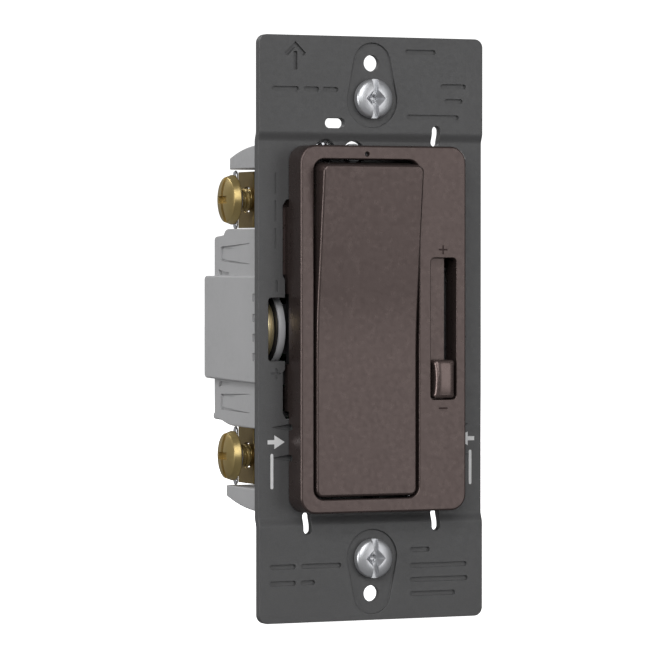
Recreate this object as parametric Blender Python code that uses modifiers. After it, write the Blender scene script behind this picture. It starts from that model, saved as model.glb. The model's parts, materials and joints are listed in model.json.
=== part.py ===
"""Dimmer slide switch: strap-mounted wall dimmer with a rocker, a preset slider and side terminals.

Frame: X to the right seen from the front, -Y towards the user, +Y into the wall box, +Z up.
The origin is the centre of the plane that the back of the strap's two ears lies in.
All dimensions below are millimetres; meshes are scaled to metres when they are made.
"""
import math

import bmesh
import bpy
from mathutils import Matrix, Vector

MM = 0.001
GAP = 0.3               # clearance between neighbouring solids
THROUGH = 1.0           # how far a cutter runs past the wall it cuts

# Mounting strap, a painted plate whose middle is set back
STRAP_W, STRAP_H, STRAP_T = 44.8, 106.5, 1.7
STRAP_CORNER = 1.6
STRAP_SETBACK = 0.6
BEND_OUTER, BEND_INNER = 35.7, 34.1
STRAP_FRONT = -STRAP_T + STRAP_SETBACK      # front plane of the set-back middle
STRAP_BACK = STRAP_SETBACK
MOUNT_Z = 41.67         # box screws, 83.34 apart
PLATE_Z = 48.42         # wall-plate screws, 96.84 apart
PLATE_HOLE_R = 1.5
RECESS_R, RECESS_TIP_R = 5.0, 3.7
RECESS_FLOOR = -1.2
PRY_Z = (-17.75, -23.3)

# Face frame and the two openings in its front
FRAME_W, FRAME_H, FRAME_CORNER = 33.0, 66.5, 3.0
FRAME_FRONT = -6.95
FRAME_BASE = STRAP_FRONT - GAP
FRAME_SKIN = 1.65
FRAME_WALL = 1.5
SLOT_SKIN_BACK = -3.1   # underside of the thicker skin around the slider
ROCKER_X = (-13.9, 7.0)
ROCKER_Z = 30.7
SLOT_X = (9.35, 14.5)
SLOT_Z = 12.9
SLOT_FLOOR = -5.0
HOOK_Z = ((11.5, 15.5), (-14.5, -10.5))
LENS_X, LENS_Z = -3.4, 31.7
LENS_BASE_Z = 32.0

# Rocker: two flat halves meeting at a shallow angle over the hinge
HINGE_Y = -3.0
ROCK_DEG = 6.3
PADDLE_X = (-13.4, 6.55)
PADDLE_Z = 30.25
PADDLE_SKIN, PADDLE_WALL = 1.5, 1.2
PADDLE_BACK = -2.0
PIVOT_R = 1.0
POST_X = -3.4

# Slider
KNOB_X = (9.85, 14.0)
KNOB_Z = (-12.4, -5.4)
KNOB_CROWN, KNOB_ENDS = -8.4, -7.6      # front of the knob at its middle and at its ends
KNOB_TRAVEL = 17.8
STEM_X = (13.2, 14.0)
STEM_HALF, FORK_HALF = 0.9, 2.0
STEM_SLIT = KNOB_TRAVEL / 2 + STEM_HALF + 0.35
FORK_SLOT = KNOB_TRAVEL / 2 + FORK_HALF + 0.4

# Calibration dial
DIAL_X, DIAL_Y, DIAL_R = (-17.8, -16.4), 7.0, 7.0

# Housing levels along Y
SEAT = STRAP_BACK + GAP
DECK_T = 1.5
BOARD_Y = (12.0, 13.2)
WALL = 1.3
CORE_X, CORE_BACK = 13.0, 17.5
MID_X, MID_BACK = 20.6, 24.1
BLOCK_X, BLOCK_BACK = 21.5, 26.9
MID_Z = (-18.2, 18.3)
BLOCK_Z = (-9.86, 9.61)
END_Z = (29.2, 33.5)
HOUSING_SCREWS = ((-9.1, 32.4), (9.1, -32.4))

# Side terminals: name, side, height, finish
TERMINALS = (("upper_left", -1, 23.65, "brass"), ("lower_left", -1, -23.6, "brass"),
             ("upper_right", 1, 23.65, "black_brass"), ("lower_right", 1, -23.6, "green_brass"))
TERMINAL_Y = 16.5
TERMINAL_X = 17.2       # outer face of the brass plates
TERMINAL_HALF = 5.0     # half the height of the brass plates
HEAD_X = 19.96          # back of the screw heads
HEAD_R, HEAD_FACE_R, HEAD_T = 4.6, 4.2, 1.4
TERMINAL_SHANK_R = 2.1
TERMINAL_TIP = 5.15

ROUND = 24              # sides of visible round features
SMALL = 16              # sides of small or hidden round features

COLOURS = {             # linear colour, metallic, roughness
    "strap_grey": ((0.105, 0.105, 0.108), 0.0, 0.45),
    "brown": ((0.120, 0.094, 0.089), 0.0, 0.42),
    "housing_grey": ((0.33, 0.33, 0.34), 0.0, 0.50),
    "dial_grey": ((0.25, 0.25, 0.25), 0.0, 0.45),
    "black": ((0.02, 0.02, 0.02), 0.0, 0.50),
    "brass": ((0.50, 0.36, 0.13), 1.0, 0.30),
    "black_brass": ((0.06, 0.055, 0.05), 0.9, 0.40),
    "green_brass": ((0.06, 0.22, 0.08), 0.8, 0.40),
    "steel": ((0.60, 0.60, 0.61), 1.0, 0.25),
    "spring_steel": ((0.45, 0.45, 0.46), 1.0, 0.30),
    "clear": ((0.70, 0.72, 0.72), 0.0, 0.15),
    "fibre": ((0.55, 0.42, 0.28), 0.0, 0.80),
    "board": ((0.05, 0.20, 0.08), 0.0, 0.50),
    "ferrite": ((0.05, 0.05, 0.055), 0.0, 0.70),
    "copper": ((0.60, 0.24, 0.10), 1.0, 0.35),
    "film_yellow": ((0.60, 0.42, 0.06), 0.0, 0.45),
    "disc_blue": ((0.05, 0.13, 0.35), 0.0, 0.45),
    "silver": ((0.80, 0.79, 0.76), 1.0, 0.25),
}


# --- scene set-up and small tools -----------------------------------------------------------

def clear_scene():
    for obj in list(bpy.data.objects):
        bpy.data.objects.remove(obj, do_unlink=True)


def new_collection(name):
    collection = bpy.data.collections.new(name)
    bpy.context.scene.collection.children.link(collection)
    return collection


def principled(name, finish):
    colour, metallic, roughness = COLOURS[finish]
    material = bpy.data.materials.new(name)
    material.use_nodes = True
    shader = material.node_tree.nodes["Principled BSDF"]
    shader.inputs["Base Color"].default_value = (*colour, 1.0)
    shader.inputs["Metallic"].default_value = metallic
    shader.inputs["Roughness"].default_value = roughness
    material.diffuse_color = (*colour, 1.0)
    return material


def add_piece(name, bm, finish, origin=(0.0, 0.0, 0.0)):
    """Makes a named piece from a mesh in millimetres, with its origin at the given point."""
    bmesh.ops.translate(bm, verts=bm.verts, vec=-Vector(origin))
    bmesh.ops.scale(bm, verts=bm.verts, vec=(MM, MM, MM))
    bmesh.ops.recalc_face_normals(bm, faces=bm.faces)
    mesh = bpy.data.meshes.new(name)
    bm.to_mesh(mesh)
    bm.free()
    mesh.shade_smooth()
    mesh.set_sharp_from_angle(angle=math.radians(35))
    obj = bpy.data.objects.new(name, mesh)
    obj.location = Vector(origin) * MM
    obj.data.materials.append(principled(name, finish))
    PIECES.objects.link(obj)
    return obj


def boolean(target, bm, operation):
    """Joins or cuts the target with a mesh in millimetres, through a hidden helper object."""
    helper = add_piece(f"{target.name}_{operation.lower()}_{len(target.modifiers)}", bm, "black")
    PIECES.objects.unlink(helper)
    CUTTERS.objects.link(helper)
    helper.hide_render = True
    helper.display_type = "WIRE"
    modifier = target.modifiers.new(helper.name, "BOOLEAN")
    modifier.operation = operation
    modifier.object = helper
    modifier.solver = "EXACT"


def cut(target, *shapes):
    for bm in shapes:
        boolean(target, bm, "DIFFERENCE")


def join(target, *shapes):
    for bm in shapes:
        boolean(target, bm, "UNION")


# --- shapes, all in millimetres -------------------------------------------------------------

def box(x, y, z):
    bm = bmesh.new()
    bmesh.ops.create_cube(bm, size=1.0)
    low = Vector((min(x), min(y), min(z)))
    high = Vector((max(x), max(y), max(z)))
    bmesh.ops.scale(bm, verts=bm.verts, vec=high - low)
    bmesh.ops.translate(bm, verts=bm.verts, vec=(low + high) / 2)
    return bm


def round_edges(bm, radius, wanted, segments=2):
    """Rounds the edges for which wanted(first vertex, second vertex) is true."""
    edges = [edge for edge in bm.edges if wanted(edge.verts[0].co, edge.verts[1].co)]
    bmesh.ops.bevel(bm, geom=edges, offset=radius, segments=segments, profile=0.5,
                    affect="EDGES", clamp_overlap=True)
    return bm


AXES = {"X": Vector((1, 0, 0)), "Y": Vector((0, 1, 0)), "Z": Vector((0, 0, 1))}


def rod(centre, axis, radius, span, sides=SMALL, end_radius=None):
    """A cylinder or cone along a world axis, between the two coordinates in span."""
    bm = bmesh.new()
    end_radius = radius if end_radius is None else end_radius
    bmesh.ops.create_cone(bm, cap_ends=True, segments=sides, radius1=radius, radius2=end_radius,
                          depth=span[1] - span[0])
    bmesh.ops.rotate(bm, verts=bm.verts, matrix=AXES["Z"].rotation_difference(AXES[axis]).to_matrix())
    middle = Vector(centre)
    middle["XYZ".index(axis)] = (span[0] + span[1]) / 2
    bmesh.ops.translate(bm, verts=bm.verts, vec=middle)
    return bm


# Columns: where an outline's own x, y and its thickness point in the world
PLANES = {
    "XZ": Matrix(((1, 0, 0), (0, 0, -1), (0, 1, 0))),
    "YZ": Matrix(((0, 0, 1), (1, 0, 0), (0, 1, 0))),
    "XY": Matrix(((1, 0, 0), (0, 1, 0), (0, 0, 1))),
}


def slab(plane, outlines, span):
    """A flat outline, with any holes after it, given thickness between the coordinates in span."""
    curve = bpy.data.curves.new("outline", "CURVE")
    curve.dimensions = "2D"
    curve.fill_mode = "BOTH"
    curve.extrude = (max(span) - min(span)) / 2
    for points in outlines:
        spline = curve.splines.new("POLY")
        spline.points.add(len(points) - 1)
        for place, (u, v) in zip(spline.points, points):
            place.co = (u, v, 0.0, 1.0)
        spline.use_cyclic_u = True
    source = bpy.data.objects.new("outline", curve)
    bpy.context.scene.collection.objects.link(source)
    bpy.context.view_layer.update()
    mesh = bpy.data.meshes.new_from_object(source.evaluated_get(bpy.context.evaluated_depsgraph_get()))
    bpy.data.objects.remove(source, do_unlink=True)
    bm = bmesh.new()
    bm.from_mesh(mesh)
    bmesh.ops.remove_doubles(bm, verts=bm.verts, dist=0.0001)
    bmesh.ops.dissolve_limit(bm, angle_limit=math.radians(0.5), verts=bm.verts, edges=bm.edges)
    matrix = PLANES[plane]
    bmesh.ops.transform(bm, matrix=matrix.to_4x4(), verts=bm.verts)
    thickness = matrix.col[2]
    bmesh.ops.translate(bm, verts=bm.verts, vec=Vector([abs(t) for t in thickness]) * sum(span) / 2)
    return bm


def arc(u, v, radius, start, end, steps=6):
    """Points on a circle from one angle to another, in degrees."""
    angles = [math.radians(start + (end - start) * i / steps) for i in range(steps + 1)]
    return [(u + radius * math.cos(a), v + radius * math.sin(a)) for a in angles]


def circle(u, v, radius, sides=ROUND):
    return arc(u, v, radius, 0, 360 * (sides - 1) / sides, sides - 1)


def rectangle(u, v, radius=0.0, steps=4):
    (u0, u1), (v0, v1) = u, v
    if radius == 0.0:
        return [(u0, v0), (u1, v0), (u1, v1), (u0, v1)]
    r = radius
    return (arc(u0 + r, v0 + r, r, 180, 270, steps) + arc(u1 - r, v0 + r, r, 270, 360, steps)
            + arc(u1 - r, v1 - r, r, 0, 90, steps) + arc(u0 + r, v1 - r, r, 90, 180, steps))


def lathe(profile, steps=ROUND):
    """A closed turned solid from (radius, height) points that run top to bottom outside."""
    mesh = bpy.data.meshes.new("profile")
    points = [(radius, 0.0, height) for radius, height in profile]
    mesh.from_pydata(points, [(i, i + 1) for i in range(len(points) - 1)], [])
    source = bpy.data.objects.new("profile", mesh)
    bpy.context.scene.collection.objects.link(source)
    screw = source.modifiers.new("turn", "SCREW")
    screw.steps = steps
    screw.render_steps = steps
    screw.use_merge_vertices = True
    screw.merge_threshold = 0.0001
    bpy.context.view_layer.update()
    turned = bpy.data.meshes.new_from_object(
        source.evaluated_get(bpy.context.evaluated_depsgraph_get()))
    bpy.data.objects.remove(source, do_unlink=True)
    bm = bmesh.new()
    bm.from_mesh(turned)
    bmesh.ops.remove_doubles(bm, verts=bm.verts, dist=0.0001)
    return bm


def aim(bm, direction, origin=(0.0, 0.0, 0.0)):
    """Turns a shape made along +Z to a direction and moves it to a point."""
    turn = AXES["Z"].rotation_difference(Vector(direction)).to_matrix()
    bmesh.ops.rotate(bm, verts=bm.verts, matrix=turn)
    bmesh.ops.translate(bm, verts=bm.verts, vec=origin)
    return bm


def tilt(bm, degrees, y, z=0.0):
    """Turns a shape about the X direction through (y, z)."""
    bmesh.ops.rotate(bm, verts=bm.verts, cent=(0, y, z),
                     matrix=Matrix.Rotation(math.radians(degrees), 3, "X"))
    return bm


# --- strap -----------------------------------------------------------------------------------

def strap_window():
    """The cut-out behind the face frame, with its hook notches and the calibration window."""
    left, edge, near = -14.2, -16.8, -17.5
    dial_side, dial_low, dial_high = -20.35, -5.75, 5.7
    return [(left, -24.5), (14.5, -24.5), (14.5, -15.0), (17.0, -15.0), (17.0, -10.0), (14.5, -10.0),
            (14.5, 11.0), (17.0, 11.0), (17.0, 16.0), (14.5, 16.0), (14.5, 29.0), (left, 29.0),
            (left, 23.45), (edge, 23.45), (near, 22.4), (near, 9.6), (near + 0.45, 9.1),
            (near + 0.45, dial_high), (dial_side + 0.5, dial_high), (dial_side, dial_high - 0.5),
            (dial_side, dial_low + 0.5), (dial_side + 0.5, dial_low), (near + 0.45, dial_low),
            (near + 0.45, -7.3), (near, -7.8), (near, -15.2), (edge, -16.4), (left, -16.4)]


def teardrop(side):
    """Outline of the coined recess in an ear: a wide circle and a smaller one, with tangents."""
    lean = math.degrees(math.asin((RECESS_R - RECESS_TIP_R) / (PLATE_Z - MOUNT_Z)))
    points = (arc(0, MOUNT_Z, RECESS_R, 180 - lean, 360 + lean, 14)
              + arc(0, PLATE_Z, RECESS_TIP_R, lean, 180 - lean, 8))
    return [(u, side * v) for u, v in points]


def make_strap():
    half_w, half_h = STRAP_W / 2, STRAP_H / 2
    outline = rectangle((-half_w, half_w), (-half_h, half_h), STRAP_CORNER)
    holes = [strap_window()]
    for side in (1, -1):
        holes.append(rectangle((-3.4, 3.4), (side * MOUNT_Z - 2.1, side * MOUNT_Z + 2.1), 2.0))
        holes.append(circle(0, side * PLATE_Z, PLATE_HOLE_R, SMALL))
    holes.append(rectangle((-9.4, -5.5), (36.5, 38.3), 0.85))
    holes.append(rectangle((12.1, 13.7), (33.3, 37.1), 0.75))
    for x in (-12.85, 12.9):
        holes.append(rectangle((x - 0.8, x + 0.8), (-37.2, -33.2), 0.75))
    holes.append(circle(*HOUSING_SCREWS[0], 2.05, SMALL))
    holes.append(circle(*HOUSING_SCREWS[1], 2.05, SMALL))
    holes.append(circle(LENS_X, LENS_BASE_Z, 2.2, SMALL))
    holes.append(circle(0, -28.5, 1.9, SMALL))
    bm = slab("XZ", [outline] + holes, (-STRAP_T, 0.0))
    for z in (BEND_OUTER, BEND_INNER, -BEND_INNER, -BEND_OUTER):
        bmesh.ops.bisect_plane(bm, geom=bm.verts[:] + bm.edges[:] + bm.faces[:],
                               plane_co=(0, 0, z), plane_no=(0, 0, 1))
    middle = [v for v in bm.verts if abs(v.co.z) < BEND_INNER + 0.01]
    bmesh.ops.translate(bm, verts=middle, vec=(0, STRAP_SETBACK, 0))
    for vert in bm.verts:
        ramp = (BEND_OUTER - abs(vert.co.z)) / (BEND_OUTER - BEND_INNER)
        if 0.01 < ramp < 0.99:
            vert.co.y += STRAP_SETBACK * ramp
    strap = add_piece("mounting_strap", bm, "strap_grey")
    for side in (1, -1):
        cut(strap, slab("XZ", [teardrop(side)], (-STRAP_T - THROUGH, RECESS_FLOOR)))
    for z in PRY_Z:
        for side in (-1, 1):
            groove = rod((0, 0, 0), "X", 0.0 if side < 0 else 0.75, (-2.3, 2.3), SMALL,
                         0.75 if side < 0 else 0.0)
            bmesh.ops.translate(groove, verts=groove.verts, vec=(side * 17.6, STRAP_FRONT, z))
            cut(strap, groove)
    return strap


def screw_head_profile(rim_radius, head, dome, shank_radius, length):
    """Half outline of a domed pan-head screw, head face up and shank down, back of head at 0."""
    return [(0.0, head + dome), (rim_radius * 0.55, head + dome * 0.72), (rim_radius * 0.9, head),
            (rim_radius, head * 0.75), (rim_radius, 0.0), (shank_radius, 0.0),
            (shank_radius, -length + 0.7), (shank_radius - 0.6, -length), (0.0, -length)]


def make_mounting_screws():
    """Box screws with a slot and cross recess, held in the strap by fibre washers."""
    for name, side in (("upper", 1), ("lower", -1)):
        z = side * (MOUNT_Z + 0.25)
        seat = RECESS_FLOOR - GAP
        origin = (0, seat, z)
        bm = aim(lathe(screw_head_profile(3.6, 1.45, 0.75, 1.75, 19.5)), (0, -1, 0), origin)
        screw = add_piece(f"mounting_screw_{name}", bm, "steel", origin)
        top = seat - 1.2
        cut(screw, box((-0.45, 0.45), (top, top - 2), (z - 4, z + 4)),
            box((-1.6, 1.6), (top, top - 2), (z - 0.45, z + 0.45)))
        washer = slab("XZ", [rectangle((-3.6, 3.6), (z - 3.6, z + 3.6), 0.8, 2),
                             circle(0, z, 2.1, SMALL)], (GAP, GAP + 0.6))
        add_piece(f"screw_retainer_{name}", washer, "fibre")


# --- face frame ------------------------------------------------------------------------------

def frame_cavity():
    """Hollow under the thin skin, leaving the two lugs that carry the rocker's pivots."""
    w, h = FRAME_W / 2 - FRAME_WALL, FRAME_H / 2 - FRAME_WALL
    right, lug = SLOT_X[0] - 1.05, 2.5
    return [(-w, -h), (right, -h), (right, -lug), (ROCKER_X[1], -lug), (ROCKER_X[1], lug),
            (right, lug), (right, h), (-w, h), (-w, lug), (ROCKER_X[0], lug), (ROCKER_X[0], -lug),
            (-w, -lug)]


def make_face_frame():
    half_w, half_h = FRAME_W / 2, FRAME_H / 2
    bm = slab("XZ", [rectangle((-half_w, half_w), (-half_h, half_h), FRAME_CORNER)],
              (FRAME_FRONT, FRAME_BASE))
    round_edges(bm, 0.55, lambda a, b: max(a.y, b.y) < FRAME_FRONT + 0.01)
    frame = add_piece("face_frame", bm, "brown")
    for z0, z1 in HOOK_Z:
        for side in (-1, 1):
            x = (side * 15.1, side * 16.3)
            join(frame, box(x, (FRAME_BASE - 0.8, 1.9), (z0, z1)))
    back = FRAME_BASE + 5
    skin_back = FRAME_FRONT + FRAME_SKIN
    right = SLOT_X[0] - 1.05
    inner = half_w - FRAME_WALL
    cut(frame,
        slab("XZ", [frame_cavity()], (skin_back, back)),
        box((right - 0.5, inner), (SLOT_SKIN_BACK, back), (-half_h + FRAME_WALL, -2.5)),
        box((right - 0.5, inner), (SLOT_SKIN_BACK, back), (2.5, half_h - FRAME_WALL)),
        box((right, inner), (SLOT_SKIN_BACK, back), (-3.0, 3.0)),
        slab("XZ", [rectangle(ROCKER_X, (-ROCKER_Z, ROCKER_Z), 2.0)], (FRAME_FRONT - 1, skin_back + 1)),
        slab("XZ", [rectangle(SLOT_X, (-SLOT_Z, SLOT_Z), 0.6, 2)], (FRAME_FRONT - 1, SLOT_FLOOR)),
        box((STEM_X[0] - GAP, STEM_X[1] + GAP), (FRAME_FRONT, 0), (-STEM_SLIT, STEM_SLIT)),
        rod((LENS_X, 0, LENS_Z), "Y", 1.1, (-5.9, 0)),
        rod((LENS_X, 0, LENS_Z), "Y", 0.42, (FRAME_FRONT - 1, -5.5), 8),
        rod((0, HINGE_Y, 0), "X", PIVOT_R + GAP, (-inner, right)))
    for z in PRY_Z:
        for side in (-1, 1):
            x = sorted((side * 14.6, side * 17.5))
            cut(frame, rod((0, -2.6, z), "X", 0.55, x, 8), box(x, (-2.6, 0), (z - 0.55, z + 0.55)))
    return frame


# --- rocker ----------------------------------------------------------------------------------

def paddle_profile(inset, depth):
    """Side outline of the rocker, offset inwards by inset and cut off at a depth (world Y)."""
    blend, steps = 6.0, 4
    slope = math.tan(math.radians(ROCK_DEG))
    lean = math.radians(ROCK_DEG)
    front = FRAME_FRONT + inset
    top_z = PADDLE_Z * math.cos(lean) + (FRAME_FRONT - HINGE_Y) * math.sin(lean)
    top_y = HINGE_Y + (FRAME_FRONT - HINGE_Y) * math.cos(lean) - PADDLE_Z * math.sin(lean)
    end = inset * PADDLE_WALL / PADDLE_SKIN
    points = [(front, -PADDLE_Z + end)]
    for i in range(steps + 1):
        z = -blend + 2 * blend * i / steps
        points.append((front - slope * (z + blend) ** 2 / (4 * blend), z))
    points.append((top_y + inset + end * slope, top_z - end))
    along = depth - FRAME_FRONT
    back = Vector((top_y, top_z)) + along * Vector((math.cos(lean), math.sin(lean)))
    points.append((back.x + end * slope, back.y - end))
    points.append((depth, blend * 0.2))
    points.append((depth, -PADDLE_Z + end))
    return points


def make_rocker():
    lean = ROCK_DEG / 2
    bm = slab("YZ", [paddle_profile(0.0, PADDLE_BACK)], PADDLE_X)
    ends = sorted(PADDLE_X)
    round_edges(bm, 1.3, lambda a, b: (abs(a.x - b.x) < 0.01 and abs(a.y - b.y) > 2.0
                                       and min(abs(a.z), abs(b.z)) > PADDLE_Z - 1.5), 3)
    paddle = add_piece("rocker_paddle", bm, "brown", (0, HINGE_Y, 0))
    hollow = (ends[0] + PADDLE_WALL, ends[1] - PADDLE_WALL)
    cut(paddle, slab("YZ", [paddle_profile(PADDLE_SKIN, PADDLE_BACK + THROUGH)], hollow))
    join(paddle, rod((0, HINGE_Y, 0), "X", PIVOT_R, (ends[0] - 1.2, ends[0] + 1.0)),
         rod((0, HINGE_Y, 0), "X", PIVOT_R, (ends[1] - 1.0, ends[1] + 1.2)),
         tilt(box((POST_X - 2.5, POST_X + 2.5), (-6.1, 3.6), (-2.5, 2.5)), lean, HINGE_Y))
    cut(paddle, tilt(rod((POST_X, 0, 0), "Y", 1.65, (-2.5, 5)), lean, HINGE_Y))
    make_plunger(lean)
    return paddle


def make_plunger(lean):
    """Sprung plunger in the rocker's post: the spring pushes it onto the contact arm."""
    tip = [(0.0, 1.3)] + [(1.3 * math.sin(math.radians(a)), 1.3 * math.cos(math.radians(a)))
                          for a in (30, 60, 90)]
    bm = lathe(tip + [(1.3, -4.4), (0.7, -4.4), (0.7, -5.4), (0.0, -5.4)], SMALL)
    bm = tilt(aim(bm, (0, 1, 0), (POST_X, 5.0, 0)), lean, HINGE_Y)
    add_piece("rocker_plunger", bm, "black", (POST_X, HINGE_Y, 0))
    turns, coil_r, wire, per_turn = 3.5, 1.15, 0.16, 8
    curve = bpy.data.curves.new("rocker_spring", "CURVE")
    curve.dimensions = "3D"
    curve.bevel_depth = wire
    curve.bevel_resolution = 1
    curve.use_fill_caps = True
    count = int(turns * per_turn) + 1
    spline = curve.splines.new("POLY")
    spline.points.add(count - 1)
    for i, place in enumerate(spline.points):
        angle = 2 * math.pi * i / per_turn
        height = -2.2 + i / (count - 1) * 2.3
        place.co = (coil_r * math.cos(angle), coil_r * math.sin(angle), height, 1)
    source = bpy.data.objects.new("coil", curve)
    bpy.context.scene.collection.objects.link(source)
    bpy.context.view_layer.update()
    mesh = bpy.data.meshes.new_from_object(source.evaluated_get(bpy.context.evaluated_depsgraph_get()))
    bpy.data.objects.remove(source, do_unlink=True)
    bm = bmesh.new()
    bm.from_mesh(mesh)
    bmesh.ops.remove_doubles(bm, verts=bm.verts, dist=0.0001)
    bm = tilt(aim(bm, (0, 1, 0), (POST_X, 0, 0)), lean, HINGE_Y)
    add_piece("rocker_spring", bm, "spring_steel", (POST_X, HINGE_Y, 0))


ARM_Y = 7.0             # the contact arm's pivot
ARM_HALF = 9.5
CONTACT_Z = 8.0
CONTACT_R = 1.6


def make_contacts():
    """Rocking contact arm on its cradle, and the two fixed contacts that it closes on."""
    arm_x = (POST_X - 2.0, POST_X + 2.0)
    arm = add_piece("contact_arm", tilt(box(arm_x, (6.6, 7.4), (-ARM_HALF, ARM_HALF)), -ROCK_DEG / 2, ARM_Y),
                    "brass", (POST_X, ARM_Y, 0))
    join(arm, rod((0, ARM_Y, 0), "X", 0.6, (POST_X - 3.5, POST_X + 3.5), 12))
    for side in (-1, 1):
        button = rod((POST_X, 0, side * CONTACT_Z), "Y", CONTACT_R, (7.2, 8.2))
        join(arm, tilt(button, -ROCK_DEG / 2, ARM_Y))
    bottom, half = BOARD_Y[0] - GAP, 3.5
    cradle = slab("XY", [[(POST_X - half, 5.6), (POST_X - half + 0.8, 5.6), (POST_X - half + 0.8, 10.9),
                          (POST_X + half - 0.8, 10.9), (POST_X + half - 0.8, 5.6), (POST_X + half, 5.6),
                          (POST_X + half, bottom), (POST_X - half, bottom)]], (-1.6, 1.6))
    cradle = add_piece("contact_cradle", cradle, "brass")
    cut(cradle, rod((0, ARM_Y, 0), "X", 0.9, (POST_X - 5, POST_X + 5), 12))
    for name, side in (("upper", 1), ("lower", -1)):
        outline = [(9.25, 5.8), (9.85, 5.8), (9.85, 10.2), (bottom, 10.2), (bottom, 10.8), (9.25, 10.8)]
        strip = slab("YZ", [[(y, side * z) for y, z in outline]], arm_x)
        strip = add_piece(f"fixed_contact_{name}", strip, "brass")
        join(strip, rod((POST_X, 0, side * CONTACT_Z), "Y", CONTACT_R, (8.95, 9.5)))


# --- slider ----------------------------------------------------------------------------------

def make_slider():
    middle = sum(KNOB_Z) / 2
    half = (KNOB_Z[1] - KNOB_Z[0]) / 2
    front = [(KNOB_ENDS + (KNOB_CROWN - KNOB_ENDS) * (1 - (z / half) ** 2), middle + z)
             for z in (half * i / 4 for i in range(-4, 5))]
    outline = front + [(SLOT_FLOOR - GAP, KNOB_Z[1]), (SLOT_FLOOR - GAP, KNOB_Z[0])]
    bm = slab("YZ", [outline], KNOB_X)
    bmesh.ops.remove_doubles(bm, verts=bm.verts, dist=0.0001)
    knob = add_piece("slider_knob", bm, "brown", (sum(KNOB_X) / 2, FRAME_FRONT, middle))
    join(knob, box(STEM_X, (SLOT_FLOOR - 1, -0.7), (middle - STEM_HALF, middle + STEM_HALF)))
    grip, tip, root, foot = STEM_HALF + GAP, -2.6, -0.4, 8.2
    fork = [(foot, middle - FORK_HALF), (foot, middle + FORK_HALF), (tip, middle + FORK_HALF),
            (tip, middle + grip), (root, middle + grip), (root, middle - grip),
            (tip, middle - grip), (tip, middle - FORK_HALF)]
    add_piece("slider_wiper", slab("YZ", [fork], STEM_X), "black", (sum(STEM_X) / 2, 0, middle))
    pot = add_piece("slide_potentiometer", box((9.6, 17.0), (5.2, BOARD_Y[0] - GAP), (-15, 15)), "black")
    cut(pot, box((STEM_X[0] - GAP, STEM_X[1] + GAP), (4, 8.6), (-FORK_SLOT, FORK_SLOT)))


# --- calibration dial ------------------------------------------------------------------------

def make_dial():
    origin = (DIAL_X[0], DIAL_Y, 0)
    width = DIAL_X[1] - DIAL_X[0]
    wheel = lathe([(1.5, width), (DIAL_R - 0.25, width), (DIAL_R, width - 0.25), (DIAL_R, 0.25),
                   (DIAL_R - 0.25, 0), (1.5, 0), (1.5, width)], 32)
    add_piece("calibration_wheel", aim(wheel, (1, 0, 0), origin), "dial_grey", origin)
    disc = lathe([(0, 5.5), (1.2, 5.5), (1.2, -GAP), (5.6, -GAP), (5.8, -0.6), (5.8, -1.5), (5.6, -1.9),
                  (0, -1.9)])
    add_piece("calibration_disc", aim(disc, (1, 0, 0), origin), "brass", origin)
    body = add_piece("calibration_potentiometer",
                     box((-15.8, -11.5), (3.0, BOARD_Y[0] - GAP), (-4.5, 4.5)), "black")
    cut(body, rod((0, DIAL_Y, 0), "X", 1.5, (-17, -12)))


# --- housing, deck and what they hold --------------------------------------------------------

def make_deck():
    """Inner deck behind the strap, with posts that carry the circuit board."""
    wide, narrow, split = MID_X - WALL - GAP, CORE_X - WALL - GAP, 16.0
    low, high, boss = -31.5, 32.2, 28.0
    dial = 7.5
    outline = [(-narrow, low), (-5.6, low), (-5.6, -15.4), (5.6, -15.4), (5.6, low),
               (6.2, low), (6.2, -boss), (narrow, -boss), (narrow, -split), (wide, -split),
               (wide, split), (narrow, split), (narrow, high), (LENS_X + 1.1, high), (LENS_X + 1.1, 30.5),
               (LENS_X - 1.1, 30.5), (LENS_X - 1.1, high), (-6.2, high), (-6.2, boss),
               (-narrow, boss), (-narrow, split), (-wide, split), (-wide, dial), (-15.4, dial),
               (-15.4, -dial), (-wide, -dial), (-wide, -split), (-narrow, -split)]
    holes = [rectangle((POST_X - 3.4, POST_X + 3.4), (-4.5, 4.5)),
             rectangle((STEM_X[0] - GAP, STEM_X[1] + GAP), (-FORK_SLOT, FORK_SLOT))]
    for z0, z1 in HOOK_Z:
        for side in (-1, 1):
            x = sorted((side * 14.7, side * 16.7))
            holes.append(rectangle(x, (z0 - 0.4, z1 + 0.4)))
    deck = add_piece("switch_deck", slab("XZ", [outline] + holes, (SEAT, SEAT + DECK_T)), "black")
    for x, z in ((-8.5, 24.0), (8.5, 24.0), (-8.5, -24.0), (8.5, -24.0)):
        join(deck, rod((x, 0, z), "Y", 1.5, (SEAT + 1.0, BOARD_Y[0] - GAP), 12))


def end_outline(side, back):
    """Side outline of an end block, whose outer face curves down towards the back."""
    inner, outer = END_Z if side > 0 else (-29.1, -33.3)
    drop = 2.2 * side
    steps = [(SEAT + (back - SEAT) * i / 5, i / 5) for i in range(6)]
    curve = [(y, outer - drop * t ** 2.2) for y, t in steps]
    return [(SEAT, inner), (back, inner)] + curve[::-1]


def middle_outline():
    """Side outline of the wide middle part, with its upper shoulder and lower lip."""
    low, high = MID_Z
    lip = MID_BACK + 0.6
    return [(SEAT, low), (15.0, low + 0.1), (18.6, low + 0.5), (20.8, low + 1.0), (23.9, low + 1.1),
            (lip, low + 1.7), (lip, low + 2.4), (MID_BACK, low + 2.7), (MID_BACK, high - 2.2),
            (23.3, high - 1.4), (19.7, high - 1.1), (18.7, high - 0.2), (SEAT, high)]


def block_outline():
    low, high = BLOCK_Z
    return [(SEAT, low), (BLOCK_BACK - 3, low + 0.35), (BLOCK_BACK - 0.8, low + 0.5),
            (BLOCK_BACK, low + 1.3), (BLOCK_BACK, high - 0.9), (BLOCK_BACK - 0.8, high), (SEAT, high)]


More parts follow.
